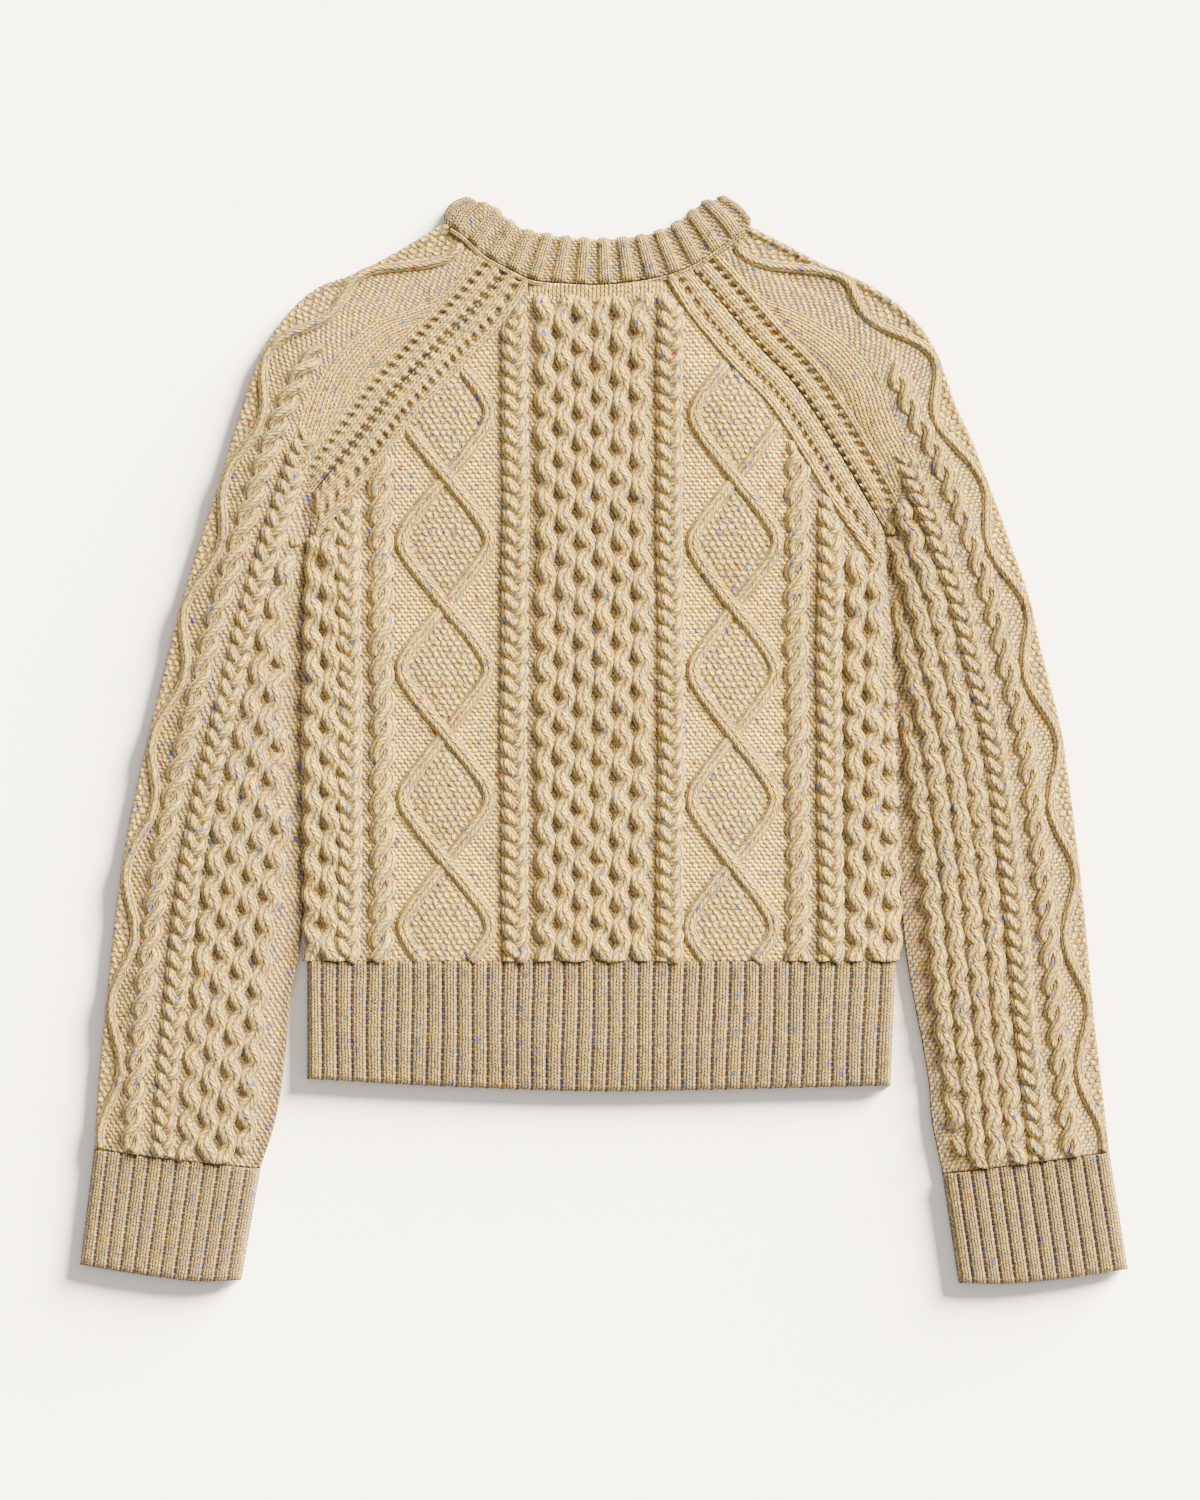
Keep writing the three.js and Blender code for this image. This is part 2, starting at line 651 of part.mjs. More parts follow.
const sweater = new THREE.Group();
sweater.add(
  piece('back', buildBack(), oatmeal),
  piece('front', buildFront(), oatmeal),
  piece('sleeve_left', buildSleeve(left), oatmeal),
  piece('sleeve_right', buildSleeve(right), oatmeal),
  piece('neckband', buildNeckband(), ribbing),
  piece('hem_rib_back', buildHemBack(), ribbing),
  piece('hem_rib_front', buildHemFront(), ribbing),
  piece('cuff_left', buildCuff(left), ribbing),
  piece('cuff_right', buildCuff(right), ribbing),
);

// The origin is at the middle of the bottom of the whole sweater
const bounds = new THREE.Box3().setFromObject(sweater);
const centre = bounds.getCenter(new THREE.Vector3());
sweater.position.set(-centre.x, -centre.y, -bounds.min.z);

export default sweater;
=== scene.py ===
import math

import bpy
import numpy as np
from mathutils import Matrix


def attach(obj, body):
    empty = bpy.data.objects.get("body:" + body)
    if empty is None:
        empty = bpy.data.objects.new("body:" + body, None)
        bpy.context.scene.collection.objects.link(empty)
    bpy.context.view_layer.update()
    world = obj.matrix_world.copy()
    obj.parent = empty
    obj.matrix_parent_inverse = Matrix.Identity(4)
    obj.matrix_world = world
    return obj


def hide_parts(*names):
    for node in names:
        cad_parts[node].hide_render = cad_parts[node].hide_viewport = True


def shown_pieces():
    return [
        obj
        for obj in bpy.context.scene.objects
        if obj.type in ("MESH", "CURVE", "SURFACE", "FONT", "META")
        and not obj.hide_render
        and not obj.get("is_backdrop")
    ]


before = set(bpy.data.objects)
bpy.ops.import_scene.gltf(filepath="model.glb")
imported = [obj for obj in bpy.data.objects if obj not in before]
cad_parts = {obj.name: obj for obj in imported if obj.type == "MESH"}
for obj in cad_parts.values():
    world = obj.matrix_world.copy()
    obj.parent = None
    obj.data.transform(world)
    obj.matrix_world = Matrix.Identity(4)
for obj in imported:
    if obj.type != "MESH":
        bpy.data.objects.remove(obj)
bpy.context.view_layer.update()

# Sizes are in millimetres and turned into metres when a mesh is made
mm = 0.001
curveSteps = 40  # between two points of an outline

cloth = {
    "wall": 3.25,
    "seamGap": 0.3,
    "sideGap": 0.5,
    "overlap": 1.0,  # of the body's edges over the sleeves
    "bodyRoll": 3.5,  # width over which the body's edges round down
    "foldRoll": 15,  # the same at a sleeve's fold
    "seamRoll": 18,  # and at its inner seam, which lies low beside the body
    "hemTop": -150.5,
    "frontNeckDrop": 58,
    "stitch": 4.0,  # width of one plain stitch
    "row": 2.7,  # height of one knitted row
}
upperFloor = cloth["wall"] + cloth["seamGap"]
upperTop = upperFloor + cloth["wall"]
middle = upperTop / 2


# Curves and small helpers

def smooth(low, high, value):
    t = np.clip((value - low) / (high - low), 0, 1)
    return t * t * (3 - 2 * t)


def mix(a, b, t):
    return a + (b - a) * t


def lengthsAlong(points):
    return np.r_[0, np.cumsum(np.linalg.norm(np.diff(points, axis=0), axis=1))]


def curveThrough(points):
    # A smooth line through all the points, with the share of its length at each place
    knots = np.array(points, float)
    padded = np.vstack([2 * knots[0] - knots[1], knots, 2 * knots[-1] - knots[-2]])
    pieces = []
    u = np.linspace(0, 1, curveSteps, endpoint=False)[:, None]
    for p0, p1, p2, p3 in zip(padded, padded[1:], padded[2:], padded[3:]):
        a, b, c = (np.sqrt(np.linalg.norm(q - p)) for p, q in ((p0, p1), (p1, p2), (p2, p3)))
        leave = ((p1 - p0) / a - (p2 - p0) / (a + b) + (p2 - p1) / b) * b
        arrive = ((p2 - p1) / b - (p3 - p1) / (b + c) + (p3 - p2) / c) * b
        pieces.append(p1 + leave * u + (3 * (p2 - p1) - 2 * leave - arrive) * u ** 2
                      + (2 * (p1 - p2) + leave + arrive) * u ** 3)
    line = np.vstack([*pieces, knots[-1:]])
    lengths = lengthsAlong(line)
    return {"points": line, "share": lengths / lengths[-1], "length": lengths[-1]}


def along(curve, t):
    return np.stack([np.interp(t, curve["share"], curve["points"][:, k]) for k in (0, 1)], -1)


def heading(curve, t):
    step = along(curve, np.clip(t + 0.01, 0, 1)) - along(curve, np.clip(t - 0.01, 0, 1))
    return step / np.linalg.norm(step, axis=-1, keepdims=True)


def nearest(line, x, y):
    # Distance from each point to a line of points, and which of those points is nearest
    spots = np.stack([np.ravel(x), np.ravel(y)], -1)
    distance = np.empty(len(spots))
    index = np.empty(len(spots), int)
    for start in range(0, len(spots), 4000):
        part = spots[start:start + 4000]
        apart = np.hypot(part[:, None, 0] - line[None, :, 0], part[:, None, 1] - line[None, :, 1])
        index[start:start + 4000] = apart.argmin(1)
        distance[start:start + 4000] = apart.min(1)
    return distance.reshape(np.shape(x)), index.reshape(np.shape(x))


def inside(outline, x, y):
    result = np.zeros(np.shape(x), bool)
    for (x0, y0), (x1, y1) in zip(outline, np.roll(outline, -1, axis=0)):
        if y0 != y1:
            crossing = (y0 > y) != (y1 > y)
            result ^= crossing & (x < x0 + (y - y0) / (y1 - y0) * (x1 - x0))
    return result


# Outlines, each row [x, y], the same as those of the solids

neckSeam = curveThrough([
    [-107, 350], [-96, 342.5], [-82.5, 330], [-66, 320.5], [-48.5, 312.5], [-30, 310.5],
    [0, 309.5], [34.5, 314], [58.5, 321.5], [77.5, 333.5], [89, 341.5], [98.5, 348.5],
])
neckTop = curveThrough([
    [-87.5, 366], [-78, 365], [-68.5, 357.5], [-56, 348.5], [-40, 344.5], [-26, 342.5],
    [0, 341], [30, 344.5], [47, 351], [62, 362], [69.5, 367], [77, 368],
])
hemEdge = curveThrough([[-200, -230], [-111, -235], [-2, -238.5], [92.5, -237], [195, -234.5]])
left = {
    "name": "left",
    "sign": -1,
    "neckShare": 0.205,
    "side": curveThrough([
        [-202.5, -150.5], [-202.5, -120.5], [-204, -54], [-205.5, -10], [-204, 68.5],
        [-200.5, 122.5], [-198, 167.5],
    ]),
    "raglan": curveThrough([
        [-198, 167.5], [-186.5, 182], [-168.5, 204.5], [-148, 231.5], [-133.5, 247],
        [-111.5, 270.5], [-85.5, 297.5], [-66, 320.5],
    ]),
    "forearm": [
        [-234, -291.5], [-223.5, -258], [-217, -214], [-213.5, -175], [-207.5, -145], [-204.5, -110],
    ],
    "lowerFold": curveThrough([
        [-347, -278], [-344, -229.5], [-339.5, -183.5], [-331, -105], [-323, -54], [-307.5, 14.5],
        [-289, 89.5], [-273.5, 141], [-262.5, 173.5],
    ]),
    "upperFold": curveThrough([
        [-262.5, 173.5], [-251.5, 211], [-240.5, 245], [-229, 271.5], [-213.5, 292.5],
        [-195, 308.5], [-172.5, 317], [-147, 329.5], [-125, 342.5], [-109, 352],
    ]),
    "cuffEnd": curveThrough([[-356.5, -356.5], [-318, -363], [-276, -368], [-247, -367]]),
}
right = {
    "name": "right",
    "sign": 1,
    "neckShare": 0.805,
    "side": curveThrough([
        [199, -150.5], [200.5, -114.5], [199, -74], [198, -27], [196.5, 27.5], [194, 82],
        [191, 122.5], [189.5, 144.5],
    ]),
    "raglan": curveThrough([
        [189.5, 144.5], [179.5, 162], [166.5, 184.5], [142.5, 223.5], [127, 245], [102.5, 270.5],
        [80, 297], [58.5, 321.5],
    ]),
    "forearm": [
        [230.5, -295], [223, -258], [221, -233], [216, -203], [211.5, -180], [206, -148.5],
        [202.5, -114.5],
    ],
    "lowerFold": curveThrough([
        [344, -280], [338.5, -229.5], [334, -190.5], [327, -114.5], [320.5, -58], [311.5, 6],
        [299, 57], [288.5, 101], [276, 136.5], [271.5, 150],
    ]),
    "upperFold": curveThrough([
        [271.5, 150], [261, 177], [250, 206.5], [240.5, 226], [224.5, 268.5], [204.5, 293.5],
        [175.5, 313], [155, 321.5], [124.5, 337.5], [102, 349],
    ]),
    "cuffEnd": curveThrough([[356.5, -359.5], [318, -365.5], [276, -369.5], [241.5, -369]]),
}
for arm in (left, right):
    arm["raglanLine"] = along(arm["raglan"], np.linspace(0, 1, 240))


def sideAt(arm, y):
    points = arm["side"]["points"]
    return np.interp(y, points[:, 1], points[:, 0])


def neckHeightAt(x):
    points = neckSeam["points"]
    return np.interp(x, points[:, 0], points[:, 1])


def frontDropAt(share):
    return cloth["frontNeckDrop"] * np.sin(math.pi * share)


# Meshes

def plainStitches(x, y):
    # Stitches across and rows up at each place of a flat piece
    return np.stack([x / cloth["stitch"], y / cloth["row"]], -1)


def newMesh(name, points, faces, stitches, materials, kinds=None):
    mesh = bpy.data.meshes.new(name)
    mesh.from_pydata(np.asarray(points, float) * mm, [], faces)
    layer = mesh.uv_layers.new(name="stitches")
    corners = np.empty(len(mesh.loops), np.int32)
    mesh.loops.foreach_get("vertex_index", corners)
    layer.data.foreach_set("uv", np.asarray(stitches, np.float32)[corners].ravel())
    for material in materials:
        mesh.materials.append(material)
    if kinds is not None:
        mesh.polygons.foreach_set("material_index", np.asarray(kinds, np.int32))
    mesh.shade_smooth()
    piece = bpy.data.objects.new(name, mesh)
    bpy.context.scene.collection.objects.link(piece)
    return piece


def onlySelect(piece):
    for other in bpy.context.selected_objects:
        other.select_set(False)
    piece.select_set(True)
    bpy.context.view_layer.objects.active = piece


def turnOutwards(piece):
    onlySelect(piece)
    bpy.ops.object.mode_set(mode="EDIT")
    bpy.ops.mesh.select_all(action="SELECT")
    bpy.ops.mesh.normals_make_consistent(inside=False)
    bpy.ops.object.mode_set(mode="OBJECT")
    return piece


def closeBelow(piece, floorHeight):
    # The rim goes straight down to a flat underside
    onlySelect(piece)
    bpy.ops.object.mode_set(mode="EDIT")
    bpy.ops.mesh.select_mode(type="EDGE")
    bpy.ops.mesh.select_all(action="DESELECT")
    bpy.ops.mesh.select_non_manifold()
    bpy.ops.mesh.extrude_edges_move()
    bpy.ops.object.mode_set(mode="OBJECT")
    mesh = piece.data
    chosen = np.empty(len(mesh.vertices), bool)
    mesh.vertices.foreach_get("select", chosen)
    places = np.empty(len(mesh.vertices) * 3, np.float32)
    mesh.vertices.foreach_get("co", places)
    places = places.reshape(-1, 3)
    places[chosen, 2] = floorHeight * mm
    mesh.vertices.foreach_set("co", places.ravel())
    bpy.ops.object.mode_set(mode="EDIT")
    bpy.ops.mesh.edge_face_add()
    bpy.ops.object.mode_set(mode="OBJECT")
    return turnOutwards(piece)


def gridFaces(rows, columns, wrapped=False):
    # Four corners of each face between rows of points that follow each other
    r, c = np.meshgrid(np.arange(rows - 1), np.arange(columns - (not wrapped)), indexing="ij")
    after = (c + 1) % columns
    below, above = r * columns, (r + 1) * columns
    return np.stack([below + c, below + after, above + after, above + c], -1).reshape(-1, 4)


def tubeCaps(rows, around):
    # The faces that close a tube at its first and last row
    return [list(range(around)), list(range(rows * around - 1, (rows - 1) * around - 1, -1))]


def latticeInside(outline, cell):
    # Square cells inside an outline, with the outermost corners drawn onto it
    low = outline.min(0) - cell
    count = np.ceil((outline.max(0) + cell - low) / cell).astype(int)
    i, j = np.meshgrid(np.arange(count[0]), np.arange(count[1]), indexing="ij")
    kept = inside(outline, low[0] + (i + 0.5) * cell, low[1] + (j + 0.5) * cell)
    uses = np.zeros((count[0] + 1, count[1] + 1), int)
    for di, dj in ((0, 0), (1, 0), (1, 1), (0, 1)):
        uses[di:di + count[0], dj:dj + count[1]] += kept
    index = np.full(uses.shape, -1)
    index[uses > 0] = np.arange((uses > 0).sum())
    gi, gj = np.nonzero(uses > 0)
    points = np.stack([low[0] + gi * cell, low[1] + gj * cell], -1)
    ki, kj = np.nonzero(kept)
    faces = np.stack([index[ki, kj], index[ki + 1, kj], index[ki + 1, kj + 1], index[ki, kj + 1]], -1)
    edges = np.vstack([np.linspace(a, b, max(2, int(np.hypot(*(b - a)) / 0.4)), endpoint=False)
                       for a, b in zip(outline, np.roll(outline, -1, axis=0))])
    rim = uses[gi, gj] < 4
    _, near = nearest(edges, points[rim, 0], points[rim, 1])
    points[rim] = edges[near]
    return points, faces


def rolled(distance, top, low, width):
    # Rounds down from top to low over the last width before an edge
    t = np.clip(distance / width, 0, 1)
    return mix(low, top, np.sqrt(1 - (1 - t) ** 2))


def wearsAs(piece, node, slot, **sheet):
    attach(piece, "root")
    if node:
        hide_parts(node)


# Materials

yarn = {
    "light": (0.50, 0.322, 0.048, 1),
    "dark": (0.22, 0.147, 0.042, 1),
    # painted shade: a bluish grey multiplied into the yarn where the stitches sink
    "gap": (0.33, 0.345, 0.9, 1),
    "heatherGrain": 520,  # grains in each metre
    "fibreCells": 480,
    "fleckCells": 215,
    "fleckSize": 0.42,
    "fleckShare": 0.3,
}
fleckColours = [  # each from this share of the flecks on
    (0.0, (0.06, 0.066, 0.11, 1)),
    (0.17, (0.36, 0.18, 0.0, 1)),
    (0.5, (0.24, 0.055, 0.022, 1)),
    (0.62, (0.10, 0.075, 0.025, 1)),
    (0.74, (0.10, 0.105, 0.13, 1)),
    (0.88, (0.36, 0.15, 0.08, 1)),
]


fibreTints = [  # the same, of the fibres in the yarn
    (0.0, (1.0, 1.0, 1.0, 1)),
    (0.3, (1.14, 1.06, 0.5, 1)),
    (0.5, (0.72, 0.78, 1.4, 1)),
    (0.66, (1.16, 0.88, 1.05, 1)),
    (0.76, (0.62, 0.62, 0.75, 1)),
    (0.86, (1.2, 1.22, 1.3, 1)),
]


def feed(tree, socket, value):
    if isinstance(value, bpy.types.NodeSocket):
        tree.links.new(value, socket)
    elif value is not None:
        socket.default_value = value


def maths(tree, operation, *values, node="ShaderNodeMath"):
    made = tree.nodes.new(node)
    made.operation = operation
    for socket, value in zip(made.inputs, values):
        feed(tree, socket, value)
    return made.outputs[0]


def plus(tree, first, second):
    return maths(tree, "ADD", first, second)


def minus(tree, first, second):
    return maths(tree, "SUBTRACT", first, second)


def times(tree, first, second):
    return maths(tree, "MULTIPLY", first, second)


def squared(tree, value, factor):
    return times(tree, maths(tree, "POWER", value, 2), factor)


def blendColours(tree, kind, share, first, second):
    made = tree.nodes.new("ShaderNodeMix")
    made.data_type = "RGBA"
    made.blend_type = kind
    feed(tree, made.inputs[0], share)
    feed(tree, made.inputs[6], first)
    feed(tree, made.inputs[7], second)
    return made.outputs[2]


def newGroup(name, sockets):
    group = bpy.data.node_groups.new(name, "ShaderNodeTree")
    for label, way, kind in sockets:
        group.interface.new_socket(name=label, in_out=way, socket_type="NodeSocket" + kind)
    return group, group.nodes.new("NodeGroupInput"), group.nodes.new("NodeGroupOutput")


def addGroup(tree, group, **values):
    made = tree.nodes.new("ShaderNodeGroup")
    made.node_tree = group
    for label, value in values.items():
        feed(tree, made.inputs[label], value)
    return made.outputs[0]


def noiseOf(tree, place, scale, detail, output="Fac"):
    noise = tree.nodes.new("ShaderNodeTexNoise")
    noise.inputs["Scale"].default_value = scale
    noise.inputs["Detail"].default_value = detail
    tree.links.new(place, noise.inputs["Vector"])
    return noise.outputs[output]


def cellsOf(tree, place, scale, dimensions="3D"):
    cells = tree.nodes.new("ShaderNodeTexVoronoi")
    cells.voronoi_dimensions = dimensions
    cells.inputs["Scale"].default_value = scale
    tree.links.new(place, cells.inputs["Vector"])
    return cells.outputs


def channelsOf(tree, colour):
    made = tree.nodes.new("ShaderNodeSeparateColor")
    tree.links.new(colour, made.inputs[0])
    return made.outputs


def stretch(tree, value, low, high):
    made = tree.nodes.new("ShaderNodeMapRange")
    made.inputs["From Min"].default_value = low
    made.inputs["From Max"].default_value = high
    feed(tree, made.inputs["Value"], value)
    return made.outputs["Result"]


def rampOf(tree, colours, value):
    ramp = tree.nodes.new("ShaderNodeValToRGB")
    ramp.color_ramp.interpolation = "CONSTANT"
    for k, (position, colour) in enumerate(colours):
        stop = ramp.color_ramp.elements[k] if k < 2 else ramp.color_ramp.elements.new(position)
        stop.position = position
        stop.color = colour
    tree.links.new(value, ramp.inputs[0])
    return ramp.outputs["Color"]


def offMiddle(tree, value):
    # From -0.5 to 0.5 over each stitch or row
    return minus(tree, maths(tree, "FRACT", value), 0.5)


def everySecond(tree, value):
    # 0 and 1 by turns, from one stitch or row to the next
    return maths(tree, "FLOORED_MODULO", maths(tree, "FLOOR", value), 2)


def arched(tree, offset, fall):
    return maths(tree, "SQRT", minus(tree, 1.02, squared(tree, offset, fall)))


def knitHeight(tree, stitches, across, up, slant):
    # Plain knitting: two slanted legs make each V
    legs = times(tree, across, 2)
    turn = minus(tree, 1, times(tree, everySecond(tree, legs), 2))
    f = offMiddle(tree, legs)
    g = offMiddle(tree, plus(tree, up, times(tree, times(tree, f, turn), slant)))
    return times(tree, arched(tree, f, 4), minus(tree, 1, squared(tree, g, 1.6)))


def purlHeight(tree, stitches, across, up, slant):
    # The back of plain knitting: short bumps, each row set half a stitch over
    f = offMiddle(tree, plus(tree, across, times(tree, everySecond(tree, up), 0.5)))
    g = offMiddle(tree, plus(tree, up, times(tree, f, slant)))
    return times(tree, arched(tree, f, 3.6), arched(tree, g, 3.9))


def mossHeight(tree, stitches, across, up, slant):
    # Moss stitch: round bumps, each row set half a bump over
    f = offMiddle(tree, plus(tree, across, times(tree, everySecond(tree, up), 0.5)))
    g = offMiddle(tree, up)
    uneven = minus(tree, noiseOf(tree, stitches, 1.1, 2), 0.5)
    f = plus(tree, plus(tree, f, times(tree, uneven, 0.9)), times(tree, g, slant))
    away = plus(tree, squared(tree, f, 5.2), squared(tree, g, 3.0))
    return maths(tree, "SQRT", maths(tree, "MAXIMUM", minus(tree, 1, away), 0))


def makeStitchGroup(name, heightOf):
    # Stitches counts them across and up, a little uneven as in hand work
    tree, start, end = newGroup(name, [
        ("Stitches", "INPUT", "Vector"), ("Slant", "INPUT", "Float"), ("Height", "OUTPUT", "Float"),
    ])
    stitches = start.outputs["Stitches"]
    counts = tree.nodes.new("ShaderNodeSeparateXYZ")
    tree.links.new(stitches, counts.inputs[0])
    sway = times(tree, minus(tree, noiseOf(tree, stitches, 0.45, 1), 0.5), 0.9)
    across = plus(tree, counts.outputs[0], times(tree, sway, 0.35))
    up = plus(tree, counts.outputs[1], sway)
    height = heightOf(tree, stitches, across, up, start.outputs["Slant"])
    tree.links.new(height, end.inputs["Height"])
    return tree


def makeYarnGroup():
    # Heathered cream yarn with small coloured flecks; deep places between the stitches get painted shade
    tree, start, end = newGroup("tweedYarn", [
        ("Light", "INPUT", "Color"), ("Dark", "INPUT", "Color"), ("Height", "INPUT", "Float"),
        ("Gap", "INPUT", "Float"), ("Colour", "OUTPUT", "Color"),
    ])
    place = tree.nodes.new("ShaderNodeTexCoord").outputs["Object"]
    grain = stretch(tree, noiseOf(tree, place, yarn["heatherGrain"], 3), 0.38, 0.62)
    heather = blendColours(tree, "MIX", grain, start.outputs["Dark"], start.outputs["Light"])
    fibres = channelsOf(tree, cellsOf(tree, place, yarn["fibreCells"])["Color"])
    heather = blendColours(tree, "MULTIPLY", 0.8, heather, rampOf(tree, fibreTints, fibres[0]))
    wide = stretch(tree, noiseOf(tree, place, 14, 2), 0.3, 0.7)
    clouds = blendColours(tree, "MIX", wide, (0.93, 0.92, 0.9, 1), (1.04, 1.04, 1.03, 1))
    heather = blendColours(tree, "MULTIPLY", 1, heather, clouds)
    # The flecks are cells drawn out along the yarn, with ragged edges
    long = maths(tree, "MULTIPLY", place, (1, 0.62, 1), node="ShaderNodeVectorMath")
    ragged = maths(tree, "MULTIPLY_ADD", noiseOf(tree, place, 500, 2, "Color"), (0.0028, 0.0028, 0), long,
                   node="ShaderNodeVectorMath")
    cells = cellsOf(tree, ragged, yarn["fleckCells"], "2D")
    drawn = channelsOf(tree, cells["Color"])
    near = stretch(tree, cells["Distance"], yarn["fleckSize"], yarn["fleckSize"] * 0.4)
    chosen = maths(tree, "LESS_THAN", drawn[1], yarn["fleckShare"])
    fleck = times(tree, times(tree, near, chosen), stretch(tree, drawn[2], -0.2, 0.9))
    flecked = blendColours(tree, "MIX", fleck, heather, rampOf(tree, fleckColours, drawn[0]))
    # The lower a stitch lies, the more painted shade it gets
    depth = times(tree, stretch(tree, start.outputs["Height"], 0.93, 0.42), start.outputs["Gap"])
    shadedGaps = blendColours(tree, "MULTIPLY", 1, flecked, yarn["gap"])
    tree.links.new(blendColours(tree, "MIX", depth, flecked, shadedGaps), end.inputs["Colour"])
    return tree


knitGroup = makeStitchGroup("knitStitches", knitHeight)
purlGroup = makeStitchGroup("purlStitches", purlHeight)
seedGroup = makeStitchGroup("seedStitches", mossHeight)
yarnGroup = makeYarnGroup()


wool = {
    "Roughness": 0.92,
    "Specular IOR Level": 0.1,
    "Sheen Weight": 0.12,
    "Sheen Roughness": 0.6,
    "Sheen Tint": (1.0, 0.93, 0.8, 1),
}


def newMaterial(name, finish):
    material = bpy.data.materials.new(name)
    material.use_nodes = True
    shader = material.node_tree.nodes["Principled BSDF"]
    for label, value in finish.items():
        shader.inputs[label].default_value = value
    return material, material.node_tree, shader


def knitMaterial(name, group, depth, slant, gap, scale=(1, 1), lightShadeTone=1.0, shadeBlue=1.0):
    # depth of the stitches in mm, their slant, how strong the painted shade between them is, and the
    # lightness and blue tint of this copy of the yarn, which paint light and shade onto it
    material, tree, shader = newMaterial(name, wool)
    counts = tree.nodes.new("ShaderNodeUVMap")
    counts.uv_map = "stitches"
    sized = tree.nodes.new("ShaderNodeMapping")
    sized.inputs["Scale"].default_value = (*scale, 1)
    tree.links.new(counts.outputs[0], sized.inputs[0])
    height = addGroup(tree, group, Stitches=sized.outputs[0], Slant=slant)
    # Lighter and darker copies of the one yarn stand in for light and shade; darker copies keep more blue,
    # the hue of painted shade
    shades = {}
    for shade in ("light", "dark"):
        red, green, bluish, _ = yarn[shade]
        shades[shade.title()] = (red * lightShadeTone, green * lightShadeTone, bluish * lightShadeTone ** 0.6 * shadeBlue, 1)
    colour = addGroup(tree, yarnGroup, Height=height, Gap=gap, **shades)
    tree.links.new(colour, shader.inputs["Base Color"])
    fibres = noiseOf(tree, tree.nodes.new("ShaderNodeTexCoord").outputs["Object"], 1500, 2)
    bump = tree.nodes.new("ShaderNodeBump")
    bump.inputs["Distance"].default_value = depth * mm
    tree.links.new(plus(tree, height, times(tree, fibres, 0.35)), bump.inputs["Height"])
    tree.links.new(bump.outputs[0], shader.inputs["Normal"])
    return material


# All of these are the same yarn. Their stitches and bumps differ for real, but their lightness and blue
# tint are set by where they lie: plainKnit, purlKnit, mossKnit and neckKnit are lighter copies, painted
# light; the darker or bluer copies below are painted shade
cableKnit = knitMaterial("cableKnit", knitGroup, 1.5, 1.5, gap=0.85, scale=(1, 0.6), lightShadeTone=1.08)
# darker copy of the cable knitting, for the sleeves: painted shade
shadedSleeveCable = knitMaterial("shadedSleeveCable", knitGroup, 1.5, 1.5, gap=0.9, scale=(1, 0.6), lightShadeTone=0.96)
plainKnit = knitMaterial("plainKnit", knitGroup, 1.5, 1.0, gap=0.9, scale=(0.74, 0.8), lightShadeTone=1.15)
# bluer purl for the ground between the cables and the sleeves' inner parts: painted shade hue in the
# hollows
hollowShadeKnit = knitMaterial("hollowShadeKnit", purlGroup, 1.6, 0.6, gap=0.8, lightShadeTone=1.04, shadeBlue=1.3)
purlKnit = knitMaterial("purlKnit", purlGroup, 1.7, 0.3, gap=0.7, lightShadeTone=1.55, shadeBlue=1.15)
# darker than the body's purl: painted shade on the sleeves
shadedSleevePurl = knitMaterial("shadedSleevePurl", purlGroup, 1.9, 0.5, gap=0.9, lightShadeTone=1.15, shadeBlue=1.05)
# darkest, bluer purl beside the sleeve's inner seam: painted shadow of the body
seamShadowPurl = knitMaterial("seamShadowPurl", purlGroup, 1.6, 0.6, gap=0.9, lightShadeTone=0.72, shadeBlue=1.3)
mossKnit = knitMaterial("mossKnit", seedGroup, 2.4, 0.25, gap=0.8, scale=(0.82, 0.68), lightShadeTone=1.32, shadeBlue=1.05)
# darker copy for the hem and cuff ribs: painted shade
shadedRibKnit = knitMaterial("shadedRibKnit", knitGroup, 1.8, 0.8, gap=1.15, lightShadeTone=0.74)
# purl in the gutters between the ribs, darker and bluer: painted shade
ribGutterShade = knitMaterial("ribGutterShade", purlGroup, 1.0, 0.2, gap=0.9, lightShadeTone=0.6, shadeBlue=1.4)
# purl between the neckband's ribs, darker and bluer: painted shade in the troughs
neckPurlShade = knitMaterial("neckPurlShade", purlGroup, 1.4, 0.3, gap=0.9, lightShadeTone=0.92, shadeBlue=1.15)
neckKnit = knitMaterial("neckKnit", knitGroup, 2.3, 0.9, gap=1.15, lightShadeTone=1.1)
# dark, bluish knitting inside the eyelets: painted shade
eyeletShadeKnit = knitMaterial("eyeletShadeKnit", knitGroup, 0.8, 0.9, gap=0.8, lightShadeTone=0.65, shadeBlue=1.7)
print("materials made")


# Cable strands. Each path gives its offset across and its height above the ground, for places y along it.

diamondPoint = 0.93  # how pointed the diamonds are, up to 1


def honeycombPaths(y, comb):
    turn = 2 * math.pi * (y - comb["phase"]) / comb["repeat"]
    paths = []
    for k in range(comb["count"]):
        sign = -1 if k % 2 else 1
        uneven = 1 + 0.16 * np.sin(y / 27 + k * 2.1) + 0.1 * np.sin(y / 11 + k)
        bent = turn + 0.25 * np.sin(y / 39 + k * 0.8)
        column = (k - (comb["count"] - 1) / 2) * comb["pitch"]
        paths.append((column - sign * comb["swing"] * uneven * np.cos(bent), -1.0 * sign * np.sin(bent)))
    return paths


def plaitPaths(y, plait):
    turns = [2 * math.pi * (k / 3 - y / (3 * plait["bar"])) for k in range(3)]
    return [(plait["swing"] * np.sin(turn), -plait["lift"] * np.sin(2 * turn)) for turn in turns]


def ropePaths(y, rope):
    turns = [math.pi * (y / rope["repeat"] + k) for k in range(2)]
    return [(rope["swing"] * np.sin(turn), rope["lift"] * np.cos(turn)) for turn in turns]


def diamondSpread(y, diamond):
    turn = math.pi * (y - diamond["crossing"]) / diamond["repeat"]
    return diamond["reach"] * np.arcsin(diamondPoint * np.sin(turn)) / math.asin(diamondPoint), turn


